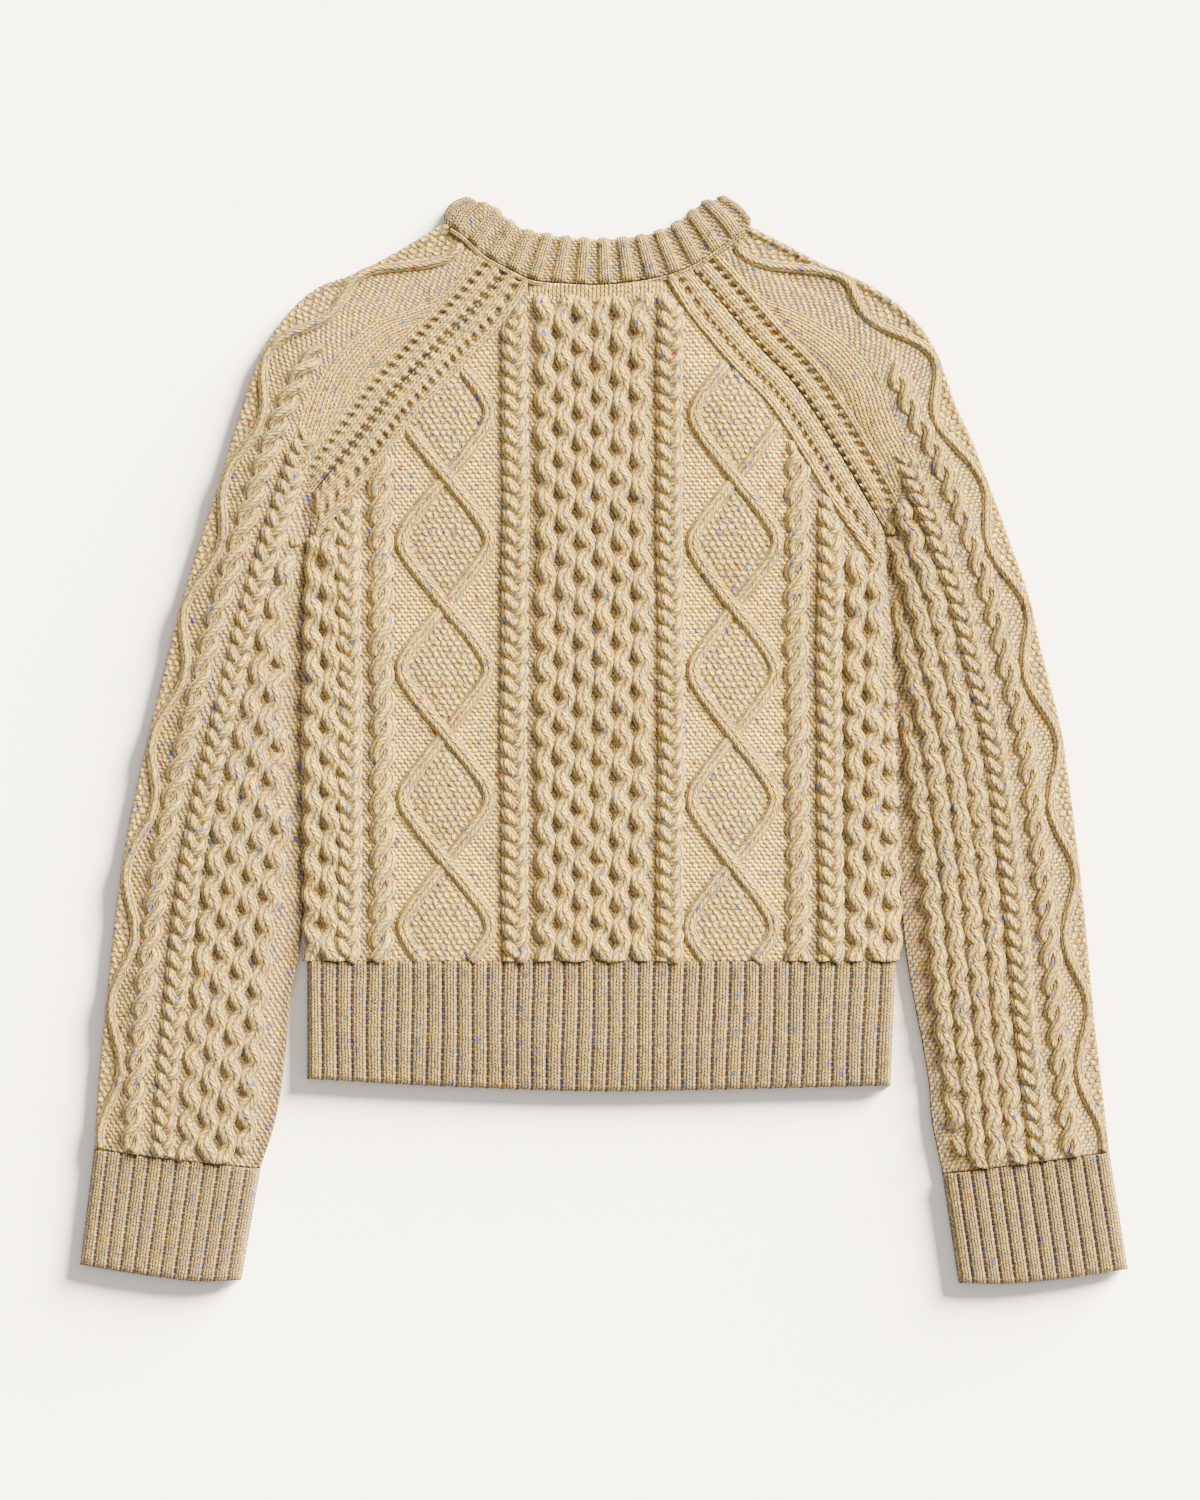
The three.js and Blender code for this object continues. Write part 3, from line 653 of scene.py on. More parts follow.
def diamondPaths(y, diamond):
    spread, turn = diamondSpread(y, diamond)
    over = 0.9 * np.cos(turn) * np.exp(-(spread / 6) ** 2)
    return [(-spread, over), (spread, -over)]


def strandTube(path, base, halfWidth, height, held, stitches, around=12):
    # A plump strand lying on the ground along path, sinking into it where held falls to 0
    step = np.gradient(path, axis=0)
    step /= np.linalg.norm(step, axis=1, keepdims=True)
    across = np.stack([-step[:, 1], step[:, 0]], -1)
    angles = 2 * math.pi * np.arange(around) / around
    wide = np.sign(np.cos(angles)) * np.abs(np.cos(angles)) ** 0.9
    high = np.where(np.sin(angles) > 0, np.abs(np.sin(angles)) ** 0.9, -0.28)
    half = (halfWidth * mix(0.75, 1, held))[:, None] * wide
    points = np.empty((len(path), around, 3))
    points[..., :2] = path[:, None] - across[:, None] * half[..., None]
    raised = np.broadcast_to(height, len(path))[:, None] * high
    points[..., 2] = np.maximum((base - 2.5 * (1 - held))[:, None] + raised, 0.2)
    lengths = lengthsAlong(path)
    count = np.where(angles <= math.pi, 1 - angles / math.pi, (angles - math.pi) / math.pi) * stitches
    uv = np.stack(np.broadcast_arrays(count[None, :], lengths[:, None] / cloth["row"]), -1)
    faces = gridFaces(len(path), around, wrapped=True).tolist() + tubeCaps(len(path), around)
    return points.reshape(-1, 3), faces, uv.reshape(-1, 2)


def strandPiece(name, tubes, material):
    # Joins strands, each with its points, faces and stitch counts, into one mesh
    faces = []
    total = 0
    for points, tubeFaces, _ in tubes:
        faces += [[v + total for v in face] for face in tubeFaces]
        total += len(points)
    points = np.vstack([tube[0] for tube in tubes])
    stitches = np.vstack([tube[2] for tube in tubes])
    return turnOutwards(newMesh(name, points, faces, stitches, [material]))


def keptRuns(held):
    # Stretches of a strand that show
    shown = np.flatnonzero(held > 0)
    return [run for run in np.split(shown, np.flatnonzero(np.diff(shown) > 1) + 1) if len(run) > 4]


# Back

backSizes = {
    "cell": 1.5,
    "bandWidth": 21,  # from the raglan seam to the raised line beside it
    "bandShare": 0.085,  # share of the neck seam that the end of that band takes
    "plainTop": 8,  # plain rows below the neckband
    "strandStep": 1.6,
    "strandTaper": 4.5,  # length over which a strand sinks in at its end
    "panelHalf": 35,  # of the purled panel behind the diamonds
}
backDiamonds = [  # centre across, height of a crossing, half width, height of a diamond, lean
    {"centre": -107.5, "crossing": 92, "reach": 29.5, "repeat": 87.2, "lean": 0},
    {"centre": 88.5, "crossing": 91, "reach": 28.5, "repeat": 87.2, "lean": 2},
]
backCables = {  # strand: half width, height, stitches across
    "honeycomb": {
        "paths": honeycombPaths,
        "strand": (6.2, 4.8, 2),
        "places": [
            {"centre": -7.1, "count": 6, "pitch": 12.9, "swing": 2.2, "repeat": 22.35, "phase": 8},
            {"centre": -192, "count": 2, "pitch": 12, "swing": 2.1, "repeat": 22.35, "phase": 8},
            {"centre": 184, "count": 3, "pitch": 12.5, "swing": 2.1, "repeat": 22.35, "phase": 8},
        ],
    },
    "plaits": {
        "paths": plaitPaths,
        "strand": (4.4, 3.6, 1.5),
        "places": [
            {"centre": -60.5, "bar": 11.25, "swing": 5.4, "lift": 1.7},
            {"centre": 45.2, "bar": 11.25, "swing": 5.4, "lift": 1.7},
            {"centre": -173.5, "bar": 12.1, "swing": 5.0, "lift": 1.7},
            {"centre": 154, "bar": 12.1, "swing": 5.0, "lift": 1.7},
        ],
    },
    "ropes": {
        "paths": ropePaths,
        "strand": (4.7, 3.2, 1.5),
        "places": [
            {"centre": -151, "repeat": 18.0, "swing": 4.6, "lift": 2.0},
            {"centre": 131.5, "repeat": 17.5, "swing": 4.6, "lift": 2.0},
        ],
    },
    "diamonds": {"paths": diamondPaths, "strand": (4.8, 2.5, 2), "places": backDiamonds},
}


def centreOf(cable, y):
    return cable["centre"] + cable.get("lean", 0) * np.clip((y - 50) / 170, -1, 1)


def borderLine(arm, t):
    seam = along(arm["raglan"], t)
    way = heading(arm["raglan"], t)
    across = np.stack([way[:, 1], -way[:, 0]], -1) * -arm["sign"] * backSizes["bandWidth"]
    toUnderarm = np.array([arm["sign"] * 0.5, -33.0])
    onNeck = along(neckSeam, arm["neckShare"] - arm["sign"] * backSizes["bandShare"])
    start = 1 - smooth(0, 0.22, t)[:, None]
    end = smooth(0.84, 1, t)[:, None]
    return seam + across * (1 - start - end) + toUnderarm * start + (onNeck - seam) * end


creases = [  # from, to, half width, height (a trough where it is below 0)
    ((188, 128), (150, 90), 9, 1.6),
    ((-196, 150), (-162, 98), 10, 1.4),
    ((-150, -60), (-40, -96), 16, -0.9),
    ((40, -72), (160, -30), 16, 0.9),
    ((20, -112), (112, -130), 12, -0.7),
    ((-30, 250), (60, 225), 16, -0.8),
    ((-238, 152), (-212, 80), 12, -1.3),
    ((-302, 60), (-236, 18), 14, 1.0),
    ((-326, -118), (-248, -152), 14, -1.1),
    ((236, 150), (216, 72), 12, 1.2),
    ((302, 22), (236, -22), 14, -1.1),
    ((328, -138), (258, -172), 14, 1.0),
]


def creaseHeight(x, y):
    total = 0 * (x + y)
    for (x0, y0), (x1, y1), width, height in creases:
        run = math.hypot(x1 - x0, y1 - y0)
        ux, uy = (x1 - x0) / run, (y1 - y0) / run
        place = (x - x0) * ux + (y - y0) * uy
        off = (y - y0) * ux - (x - x0) * uy + 2.5 * np.sin(place / 17 + x0)
        ends = smooth(-0.15 * run, 0.3 * run, place) * smooth(1.15 * run, 0.7 * run, place)
        total = total + height * np.exp(-(off / width) ** 2) * ends
    return total


def bodyDrape(x, y):
    # Soft unevenness of the laid body
    waves = 0.5 * np.sin(x / 61 + 1.3) * np.sin(y / 83 + 0.4) + 0.35 * np.sin(x / 29 + y / 57)
    waves = waves + 0.25 * np.sin(y / 21 + x / 90)
    swell = 1.2 * np.exp(-((x + 8) / 95) ** 2) + 2.2 * (1 - (np.abs(x + 4) / 204) ** 5) - 0.6
    return creaseHeight(x, y) + waves + swell


def sideRoom(x, y):
    return np.minimum(x - sideAt(left, y), sideAt(right, y) - x)


def raglanRoom(x, y):
    return np.minimum(*(nearest(arm["raglanLine"], x, y)[0] for arm in (left, right)))


def backGround(x, y):
    # Height of the back's surface under its cables
    edge = sideRoom(x, y)
    raglan = raglanRoom(x, y)
    z = upperTop + bodyDrape(x, y) * smooth(0, 25, edge) * smooth(10, 50, raglan)
    for diamond in backDiamonds:
        spread, _ = diamondSpread(y, diamond)
        z += 1.3 * smooth(2, 16, np.abs(spread) - np.abs(x - centreOf(diamond, y)))
    z = rolled(edge, z, upperFloor + 1.2, cloth["bodyRoll"])
    z -= 1.3 * (1 - smooth(19, 23, raglan)) * smooth(140, 160, y)
    return np.maximum(z, upperFloor + 0.3)


def cableRoom(x, y):
    # How far a place on the back is from the lace bands, the neck and the sides; below 0 outside
    border = raglanRoom(x, y) - backSizes["bandWidth"] - 1.5
    room = np.minimum(border, neckHeightAt(x) - y - backSizes["plainTop"])
    room = np.where(inside(backField, x, y), room, -1)
    return np.minimum(room, sideRoom(x, y) - 0.5)


def backOutline():
    t = np.linspace(0, 1, 90)
    sides = [along(arm["side"], t) + [arm["sign"] * cloth["overlap"], 0] for arm in (left, right)]
    seams = [along(arm["raglan"], t) for arm in (left, right)]
    neck = along(neckSeam, np.linspace(left["neckShare"], right["neckShare"], 90))
    outline = np.vstack([sides[0], seams[0][1:], neck[1:-1], seams[1][::-1], sides[1][::-1][1:]])
    outline[:, 1] = np.maximum(outline[:, 1], cloth["hemTop"] + cloth["seamGap"])
    return outline


backField = backOutline()


def makeBack():
    points, faces = latticeInside(backField, backSizes["cell"])
    x, y = points.T
    z = backGround(x, y)
    middles = points[faces].mean(1)
    fx, fy = middles.T
    # Most of the back gets the bluer hollow knitting, painted shade hue between the cables
    kinds = np.full(len(faces), 3)
    for diamond in backDiamonds:
        off = np.abs(fx - centreOf(diamond, fy))
        kinds[off < backSizes["panelHalf"]] = 1
        kinds[off < np.abs(diamondSpread(fy, diamond)[0])] = 2
    kinds[neckHeightAt(fx) - fy < backSizes["plainTop"] + 3] = 0
    piece = newMesh("back_panel", np.column_stack([x, y, z]), faces.tolist(), plainStitches(x, y),
                    [plainKnit, purlKnit, mossKnit, hollowShadeKnit], kinds)
    return closeBelow(piece, upperFloor)


def wander(x, y):
    # Hand knitting is never quite straight
    return 0.7 * np.sin(y / 53 + x / 37) + 0.35 * np.sin(y / 17 + x / 23 + 1)


def plumpness(x, y):
    return 1 + 0.06 * np.sin(y / 9.5 + x / 3) + 0.05 * np.sin(y / 31 - x / 11)


def backStrands(cable, y):
    halfWidth, height, stitches = cable["strand"]
    tubes = []
    for place in cable["places"]:
        for offset, lift in cable["paths"](y, place):
            x = centreOf(place, y) + offset
            x = x + wander(x, y)
            held = smooth(0, backSizes["strandTaper"], cableRoom(x, y))
            for run in keptRuns(held):
                path = np.stack([x[run], y[run]], -1)
                base = backGround(x[run], y[run]) + lift[run]
                thick = height * plumpness(*path.T)
                tubes.append(strandTube(path, base, halfWidth, thick, held[run], stitches))
    return tubes


def makeBackCables():
    y = np.arange(cloth["hemTop"] + 0.6, 322, backSizes["strandStep"])
    return [strandPiece("back_" + label, backStrands(cable, y), cableKnit)
            for label, cable in backCables.items()]


# Lace bands beside the raglan seams

lace = {
    "pitch": 7.1,  # from one eyelet to the next
    "eyelet": 1.95,  # radius
    "depth": 3.8,
    "cell": 0.85,
    "stitch": 3.6,
    "reach": 1.1,  # share of the width to which the strip runs, under the strands beside it
    "floor": upperFloor + 0.2,
    "profile": [  # share of the width, height over the plain ground
        (0, 0.1), (0.12, 0.4), (0.24, 1.1), (0.36, 1.6), (0.5, 1.1), (0.66, 0.5), (0.78, 0.9),
        (0.88, 2.2), (0.915, 2.4), (0.955, 1.5), (0.995, 2.4), (1.03, 2.1), (1.1, -0.6),
    ],
    "columns": [(0.02, 0.0), (0.67, 0.5)],  # eyelets: share of the width, shift by a share of the pitch
}


def eyeletsAt(share, place, width):
    # 1 in the middle of an eyelet, 0 outside them
    result = 0 * (share + place)
    for column, shift in lace["columns"]:
        upward = ((place / lace["pitch"] + shift + 0.5) % 1 - 0.5) * lace["pitch"]
        across = (share - column) * width + 0.5 * upward
        away = np.hypot(across, upward * 0.8)
        result = np.maximum(result, 1 - smooth(lace["eyelet"] * 0.45, lace["eyelet"] * 1.2, away))
    return result


def laceHeight(share, place, width):
    shares, heights = zip(*lace["profile"])
    z = np.interp(share, shares, heights)
    netting = np.cos(2 * math.pi * place / lace["pitch"]) * np.cos(math.pi * share / 0.67)
    z = z - 0.7 * netting * (1 - smooth(0.7, 0.85, share))
    return z - lace["depth"] * eyeletsAt(share, place, width)


def laceStrip(name, seam, border, rise):
    # A knitted strip from the seam, a row of points, to the border, a like row; it starts low
    shares = np.linspace(0.015, lace["reach"], int(backSizes["bandWidth"] * lace["reach"] / lace["cell"]))
    width = np.linalg.norm(border - seam, axis=1)[:, None]
    flat = seam[:, None] + (border - seam)[:, None] * shares[None, :, None]
    share, place = np.broadcast_arrays(shares[None, :], lengthsAlong(seam)[:, None])
    low = lace["floor"] + 0.3
    z = mix(low, upperTop + laceHeight(share, place, width), smooth(0, rise, place))
    points = np.concatenate([flat, np.maximum(z, low)[..., None]], -1).reshape(-1, 3)
    uv = np.stack([share * width / lace["stitch"], place / cloth["row"]], -1).reshape(-1, 2)
    faces = gridFaces(len(seam), len(shares))
    # Faces in the eyelets get dark, bluish knitting: painted shade
    kinds = (eyeletsAt(share, place, width).reshape(-1)[faces].mean(1) > 0.5).astype(int)
    piece = newMesh(name, points, faces.tolist(), uv, [plainKnit, eyeletShadeKnit], kinds)
    return closeBelow(piece, lace["floor"])


def makeBackLace(arm):
    t = np.linspace(0.002, 0.998, int(arm["raglan"]["length"] / lace["cell"]))
    return laceStrip("lace_back_" + arm["name"], along(arm["raglan"], t), borderLine(arm, t), 4)


# Front, plain and hidden

def makeFront():
    t = np.linspace(0, 1, 60)
    lines = []
    for arm in (left, right):
        side = along(arm["side"], t) - [arm["sign"] * cloth["sideGap"], 0]
        seam = along(arm["raglan"], t[1:])
        seam[:, 1] -= frontDropAt(arm["neckShare"]) * t[1:] ** 2 + 0.2
        seam[:, 0] -= arm["sign"] * cloth["seamGap"]
        lines.append(np.vstack([side, seam]))
    shares = np.linspace(left["neckShare"], right["neckShare"], 60)
    neck = along(neckSeam, shares)
    neck[:, 1] -= frontDropAt(shares) + cloth["seamGap"]
    outline = np.vstack([lines[0], neck[1:-1], lines[1][::-1]])
    outline[:, 1] = np.maximum(outline[:, 1], cloth["hemTop"] + cloth["seamGap"])
    points, faces = latticeInside(outline, 5)
    x, y = points.T
    z = cloth["wall"] - 0.5 * (1 - smooth(0, 6, nearest(outline, x, y)[0]))
    piece = newMesh("front_panel", np.column_stack([x, y, z]), faces.tolist(), plainStitches(x, y),
                    [plainKnit])
    return closeBelow(piece, 0.05)


# Ribbing

ribbing = {"gutter": 0.17, "samples": 10, "row": 2.3, "endRoll": 0.06}  # gutter as a share of a rib
hemRibs = {"count": 39, "height": 2.9, "rows": 46, "length": 85, "drawIn": 3.5}
cuffRibs = {"count": 12, "height": 2.7, "rows": 42, "length": 80}


def ribProfile(share):
    # 0 in the gutter, 1 on the rib's crown, for a share of one rib
    off = np.abs((share % 1) - 0.5)
    t = np.clip((off - (0.5 - ribbing["gutter"])) / ribbing["gutter"], 0, 1)
    return np.sqrt(1 - t ** 2) * (1 - 0.3 * (2 * off) ** 2)


def ribStitches(share):
    # Two knitted stitches on each rib, then one purled stitch in the gutter
    knit = np.clip((share % 1 - ribbing["gutter"] / 2) / (1 - ribbing["gutter"]), 0, 1) * 2
    return np.floor(share) * 2 + knit


def ribKinds(places):
    # 1 for each face in a gutter, whose darker, bluer purl is painted shade, 0 for the others
    centre = ((places[:-1] + places[1:]) / 2) % 1
    return (np.abs(centre - 0.5) > 0.5 - ribbing["gutter"] * 0.42).astype(int)


def ribEnds(share, z):
    # Rounds the free end and draws the ribs in a little where they are joined on
    return rolled(share, z, upperFloor + 2.4, ribbing["endRoll"]) - 0.3 * smooth(0.97, 1, share)


def makeHem(name, below):
    count = hemRibs["count"]
    t = np.linspace(0, 1, count * ribbing["samples"] + 1)
    share = np.linspace(0, 1.004, hemRibs["rows"])[:, None]
    crown = ribProfile(t * count)
    x0, x1 = [sideAt(arm, cloth["hemTop"]) - arm["sign"] * cloth["sideGap"] for arm in (left, right)]
    endX = x1 - hemRibs["drawIn"] * (1 - share)
    x = mix(x0, endX, t) + 0.35 * np.sin(share * 5 + t * 23) * smooth(0, 0.02, t) * smooth(0, 0.02, 1 - t)
    y = mix(along(hemEdge, t)[:, 1] + 0.5 * crown - 0.5, cloth["hemTop"], share)
    edge = np.minimum(x - x0, endX - x)
    if below:
        z = cloth["wall"] - 0.8 + 0 * x
    else:
        plain = upperTop + bodyDrape(x, y) * smooth(0, 25, edge) * smooth(1, 0.6, 1 - share)
        z = rolled(edge, plain, upperFloor + 1.2, cloth["bodyRoll"]) - 0.9
        z = ribEnds(share, z + hemRibs["height"] * crown * smooth(0, 3, edge))
    rows = share * hemRibs["length"] / ribbing["row"]
    stitches = np.stack(np.broadcast_arrays(ribStitches(t * count)[None, :], rows), -1).reshape(-1, 2)
    piece = newMesh(name, np.stack([x, y, z], -1).reshape(-1, 3), gridFaces(len(share), len(t)).tolist(),
                    stitches, [shadedRibKnit, ribGutterShade], np.tile(ribKinds(t * count), len(share) - 1))
    return closeBelow(piece, 0.05 if below else upperFloor)


# Sleeves and cuffs: sheets folded along their outer edge

sleeveSizes = {
    "cell": 1.9,
    "columns": 100,  # of faces over the sleeve
    "underColumns": 13,
    "foldDepth": 3.2,
    "zigzag": {"low": 12, "high": 19, "repeat": 91, "from": 3.5},  # its swing, below and on the cap
    "ropeFrom": (16.5, 25.5),  # from the fold, below and on the cap
    "ropeWidth": (20, 18),
    "plaitWidth": 22,
    "honeycombFrom": 25,  # from the plait's edge to the middle of the honeycomb
    "strandStep": 1.7,
}
sleeveCables = {  # strand: half width, height, stitches across; ends: where on the cap it sinks in, up to 1
    "strand": {"strand": (3.6, 3.1, 1.5), "ends": (2, 3)},
    "rope": {"strand": (4.1, 3.1, 1.5), "ends": (0.37, 0.47), "swing": 4.2, "repeat": 18, "lift": 1.9},
    "plait": {"strand": (4.0, 3.5, 1.5), "ends": (0.1, 0.22), "swing": 4.9, "bar": 11.8, "lift": 1.7},
    "honeycomb": {
        "strand": (6.1, 4.6, 2), "ends": (0.02, 0.14),
        "count": 4, "pitch": 12.8, "swing": 2.2, "repeat": 22.35, "phase": 5,
    },
}


def innerLine(arm):
    lower = along(arm["side"], np.linspace(0, 1, 9))
    lower = lower[lower[:, 1] > -100]
    return curveThrough([*arm["forearm"], *(lower + [arm["sign"] * cloth["sideGap"], 0])])


def sleeveRows(arm, s):
    # Ends of the rows across a sleeve; s runs from 0 at the cuff over 1 at the underarm to 2 at the neck
    lower, cap = np.clip(s, 0, 1), np.clip(s - 1, 0, 1)
    inCap = (s > 1)[..., None]
    seam = along(arm["raglan"], cap)
    away = arm["sign"] * (cloth["seamGap"] + cloth["sideGap"] * (1 - smooth(0, 0.2, cap)))
    back = seam + np.stack([away, np.full(np.shape(away), 0.18)], -1)
    front = back - np.stack([0 * cap, frontDropAt(arm["neckShare"]) * cap ** 2], -1)
    low = along(arm["innerLine"], lower)
    fold = np.where(inCap, along(arm["upperFold"], cap), along(arm["lowerFold"], lower))
    back = np.where(inCap, back, low)
    front = np.where(inCap, front, low)
    length = lower * arm["lowerFold"]["length"] + cap * arm["upperFold"]["length"]
    return {"fold": fold, "back": back, "front": front, "along": length, "cap": cap,
            "width": np.linalg.norm(back - fold, axis=-1)}


def sleevePoint(arm, rows, d, layer="back"):
    # Place at the distance d from the fold; the last rows of the cap bow along the neck seam
    t = d / rows["width"]
    flat = rows["fold"] + (rows[layer] - rows["fold"]) * t[..., None]
    shoulder = 0 if arm["sign"] < 0 else 1
    share = mix(shoulder, arm["neckShare"], np.clip(t, 0, 1))
    drop = frontDropAt(share) if layer == "front" else 0
    endDrop = frontDropAt(arm["neckShare"]) if layer == "front" else 0
    neck = along(neckSeam, share)
    fold = along(arm["upperFold"], 1)
    junction = along(neckSeam, arm["neckShare"])
    bowX = neck[..., 0] - mix(fold[0], junction[0], t)
    bowY = neck[..., 1] - drop - mix(fold[1], junction[1] - endDrop, t)
    amount = smooth(0.55, 1, rows["cap"]) * np.clip(t * 6, 0, 1)
    tuck = 1.8 * smooth(0.93, 1, rows["cap"]) * (1 - smooth(8, 30, d))
    way = heading(arm["upperFold"], 1)
    return flat + np.stack([bowX * amount + way[0] * tuck, bowY * amount + way[1] * tuck], -1)


def sleeveDrape(arm, d, length):
    phase = 0.7 if arm["sign"] < 0 else 2.1
    twist = 0.4 * np.sin(length / 83 + d / 40 + phase)
    return 0.5 * np.sin(length / 47 + phase) * np.sin(d / 31) + twist


def sleeveGround(arm, rows, d):
    # Height of the sleeve's upper surface under its cables
    w = rows["width"]
    flat = sleevePoint(arm, rows, d)
    drape = sleeveDrape(arm, d, rows["along"]) + creaseHeight(flat[..., 0], flat[..., 1])
    z = upperTop + drape * smooth(0, 22, d) * smooth(0, 30, w - d)
    crown = 6.8 * np.cos(np.clip((d - 0.45 * w) / (0.6 * w), -1, 1) * math.pi / 2) - 3.1
    z = z + crown * (1 - smooth(0.25, 0.8, rows["cap"]))
    bandWidth = laceWidth(rows["cap"])
    tilt = 3.0 * smooth(0, 0.75, d / w) - 1.5
    z = z + tilt * smooth(0.1, 0.45, rows["cap"]) * smooth(bandWidth - 4, bandWidth + 10, w - d)
    ropeStart, _ = ropeBounds(rows["cap"])
    z = z - 1.0 * (1 - smooth(ropeStart - 2, ropeStart + 3, d))
    z = np.maximum(z, upperFloor + 0.9)
    z = rolled(d + 1.5, z, middle, cloth["foldRoll"])
    lowerEdge = mix(upperFloor + 0.4, z, smooth(3.5, cloth["seamRoll"], w - d))
    seamValley = z - 0.9 * np.exp(-((w - d) / 3.0) ** 2)
    inCap = smooth(0, 0.1, rows["cap"])
    z = mix(lowerEdge, seamValley, inCap)
    z = z - 1.3 * inCap * (1 - smooth(bandWidth - 2, bandWidth + 2, w - d))
    return z


def laceWidth(cap):
    # The lace band starts narrow at the underarm
    return mix(9, 21, smooth(0, 0.12, cap))


def strandDistance(length, cap):
    # Distance of the zigzag strand from the fold
    size = sleeveSizes["zigzag"]
    reach = mix(size["low"], size["high"], smooth(0.1, 0.6, cap))
    return size["from"] + reach * 0.5 * (1 - np.cos(2 * math.pi * (length - 10) / size["repeat"]))


def ropeBounds(cap):
    shoulder = smooth(0.1, 0.6, cap)
    start = mix(*sleeveSizes["ropeFrom"], shoulder)
    return start, start + mix(*sleeveSizes["ropeWidth"], shoulder)


def makeSleeve(arm):
    # Each row goes under the sleeve, round its fold, over it, and back along its inner skin
    counts = [int(arm[fold]["length"] / sleeveSizes["cell"]) for fold in ("lowerFold", "upperFold")]
    s = np.r_[np.linspace(0, 1, counts[0]), np.linspace(1, 2, counts[1])[1:]]
    rows = {key: value[:, None] for key, value in sleeveRows(arm, s).items()}
    w = rows["width"]
    foldDepth = sleeveSizes["foldDepth"]
    under = np.linspace(1, 0, sleeveSizes["underColumns"] + 1)[None, :-1]
    lowerD = np.maximum(w * under, foldDepth + 0.2)
    lowerZ = np.where(under > 0.99, cloth["wall"] - 0.5, 0.05) + 0 * w
    turn = np.linspace(0, math.pi, 9)[None, 1:-1]
    turnD = (1 - np.sin(turn)) * foldDepth + 0 * w
    turnZ = middle - np.cos(turn) * (middle - 0.3) + 0 * w
    over = np.linspace(0, 1, sleeveSizes["columns"])[None, :]
    upperD = foldDepth + (w - foldDepth) * over
    upperZ = sleeveGround(arm, rows, upperD)
    upperZ = mix(np.maximum(upperZ, upperTop - 0.6), upperZ, smooth(0, 0.05, over))
    front = sleevePoint(arm, rows, lowerD, "front")
    back = sleevePoint(arm, rows, np.concatenate([turnD, upperD], 1), "back")
    z = np.concatenate([lowerZ, turnZ, upperZ], 1)
    outer = np.concatenate([np.concatenate([front, back], 1), z[..., None]], -1)
    count = outer.shape[1]

    def innerSkin(layer, height, places):
        return [np.concatenate([sleevePoint(arm, rows, place, layer), 0 * w[..., None] + height], -1)
                for place in places]

    innerD = [w - 1.2, w * 0.5, 0 * w + foldDepth + 0.2]
    inner = innerSkin("front", cloth["wall"], innerD) + innerSkin("back", upperFloor, innerD[::-1])
    inner = np.concatenate(inner, 1)
    inner[s > 1.9, :, 1] -= 1.5
    points = np.concatenate([outer, inner[:, ::-1]], 1)
    around = points.shape[1]
    d = np.concatenate([-lowerD, turnD, upperD, np.zeros((len(s), around - count))], 1)
    faces = gridFaces(len(s), around, wrapped=True)

    # Kinds of knitting by the place of each face: plain, purl, moss, hollow, and the purl at the inner
    # seam; the purl is darkened, the hollow knitting tinted bluer and the seam purl darkest, as painted
    # shade
    row, column = np.divmod(faces[:, 0], around)
    onTop = (column >= sleeveSizes["underColumns"]) & (column < count - 1)
    dHere = d[row, np.minimum(column, count - 1)]
    length, cap, width = (rows[key][row, 0] for key in ("along", "cap", "width"))
    strand = strandDistance(length, cap)
    start, end = ropeBounds(cap)
    plain = (cap > 0.12) & (dHere > end + 2)
    kinds = np.zeros(len(faces), int)
    kinds[onTop & (dHere < strand)] = 2
    kinds[onTop & (dHere >= strand) & ~plain] = 1
    kinds[onTop & (dHere > start - 1) & ~plain] = 3
    # Beside the body the inner edge gets the bluer hollow knitting and, nearest the seam, the darkest purl:
    # painted shadow of the body
    edge = mix(12, 2, np.clip(length / arm["lowerFold"]["length"], 0, 1))
    kinds[onTop & (width - dHere < edge) & (cap < 0.05)] = 3
    kinds[onTop & (width - dHere < 6) & (cap < 0.05)] = 4
    piece = newMesh("sleeve_" + arm["name"] + "_panel", points.reshape(-1, 3),
                    faces.tolist() + tubeCaps(len(s), around),
                    plainStitches(d, rows["along"] + 0 * d).reshape(-1, 2),
                    [plainKnit, shadedSleevePurl, mossKnit, hollowShadeKnit, seamShadowPurl], np.r_[kinds, 0, 0])
    return turnOutwards(piece)


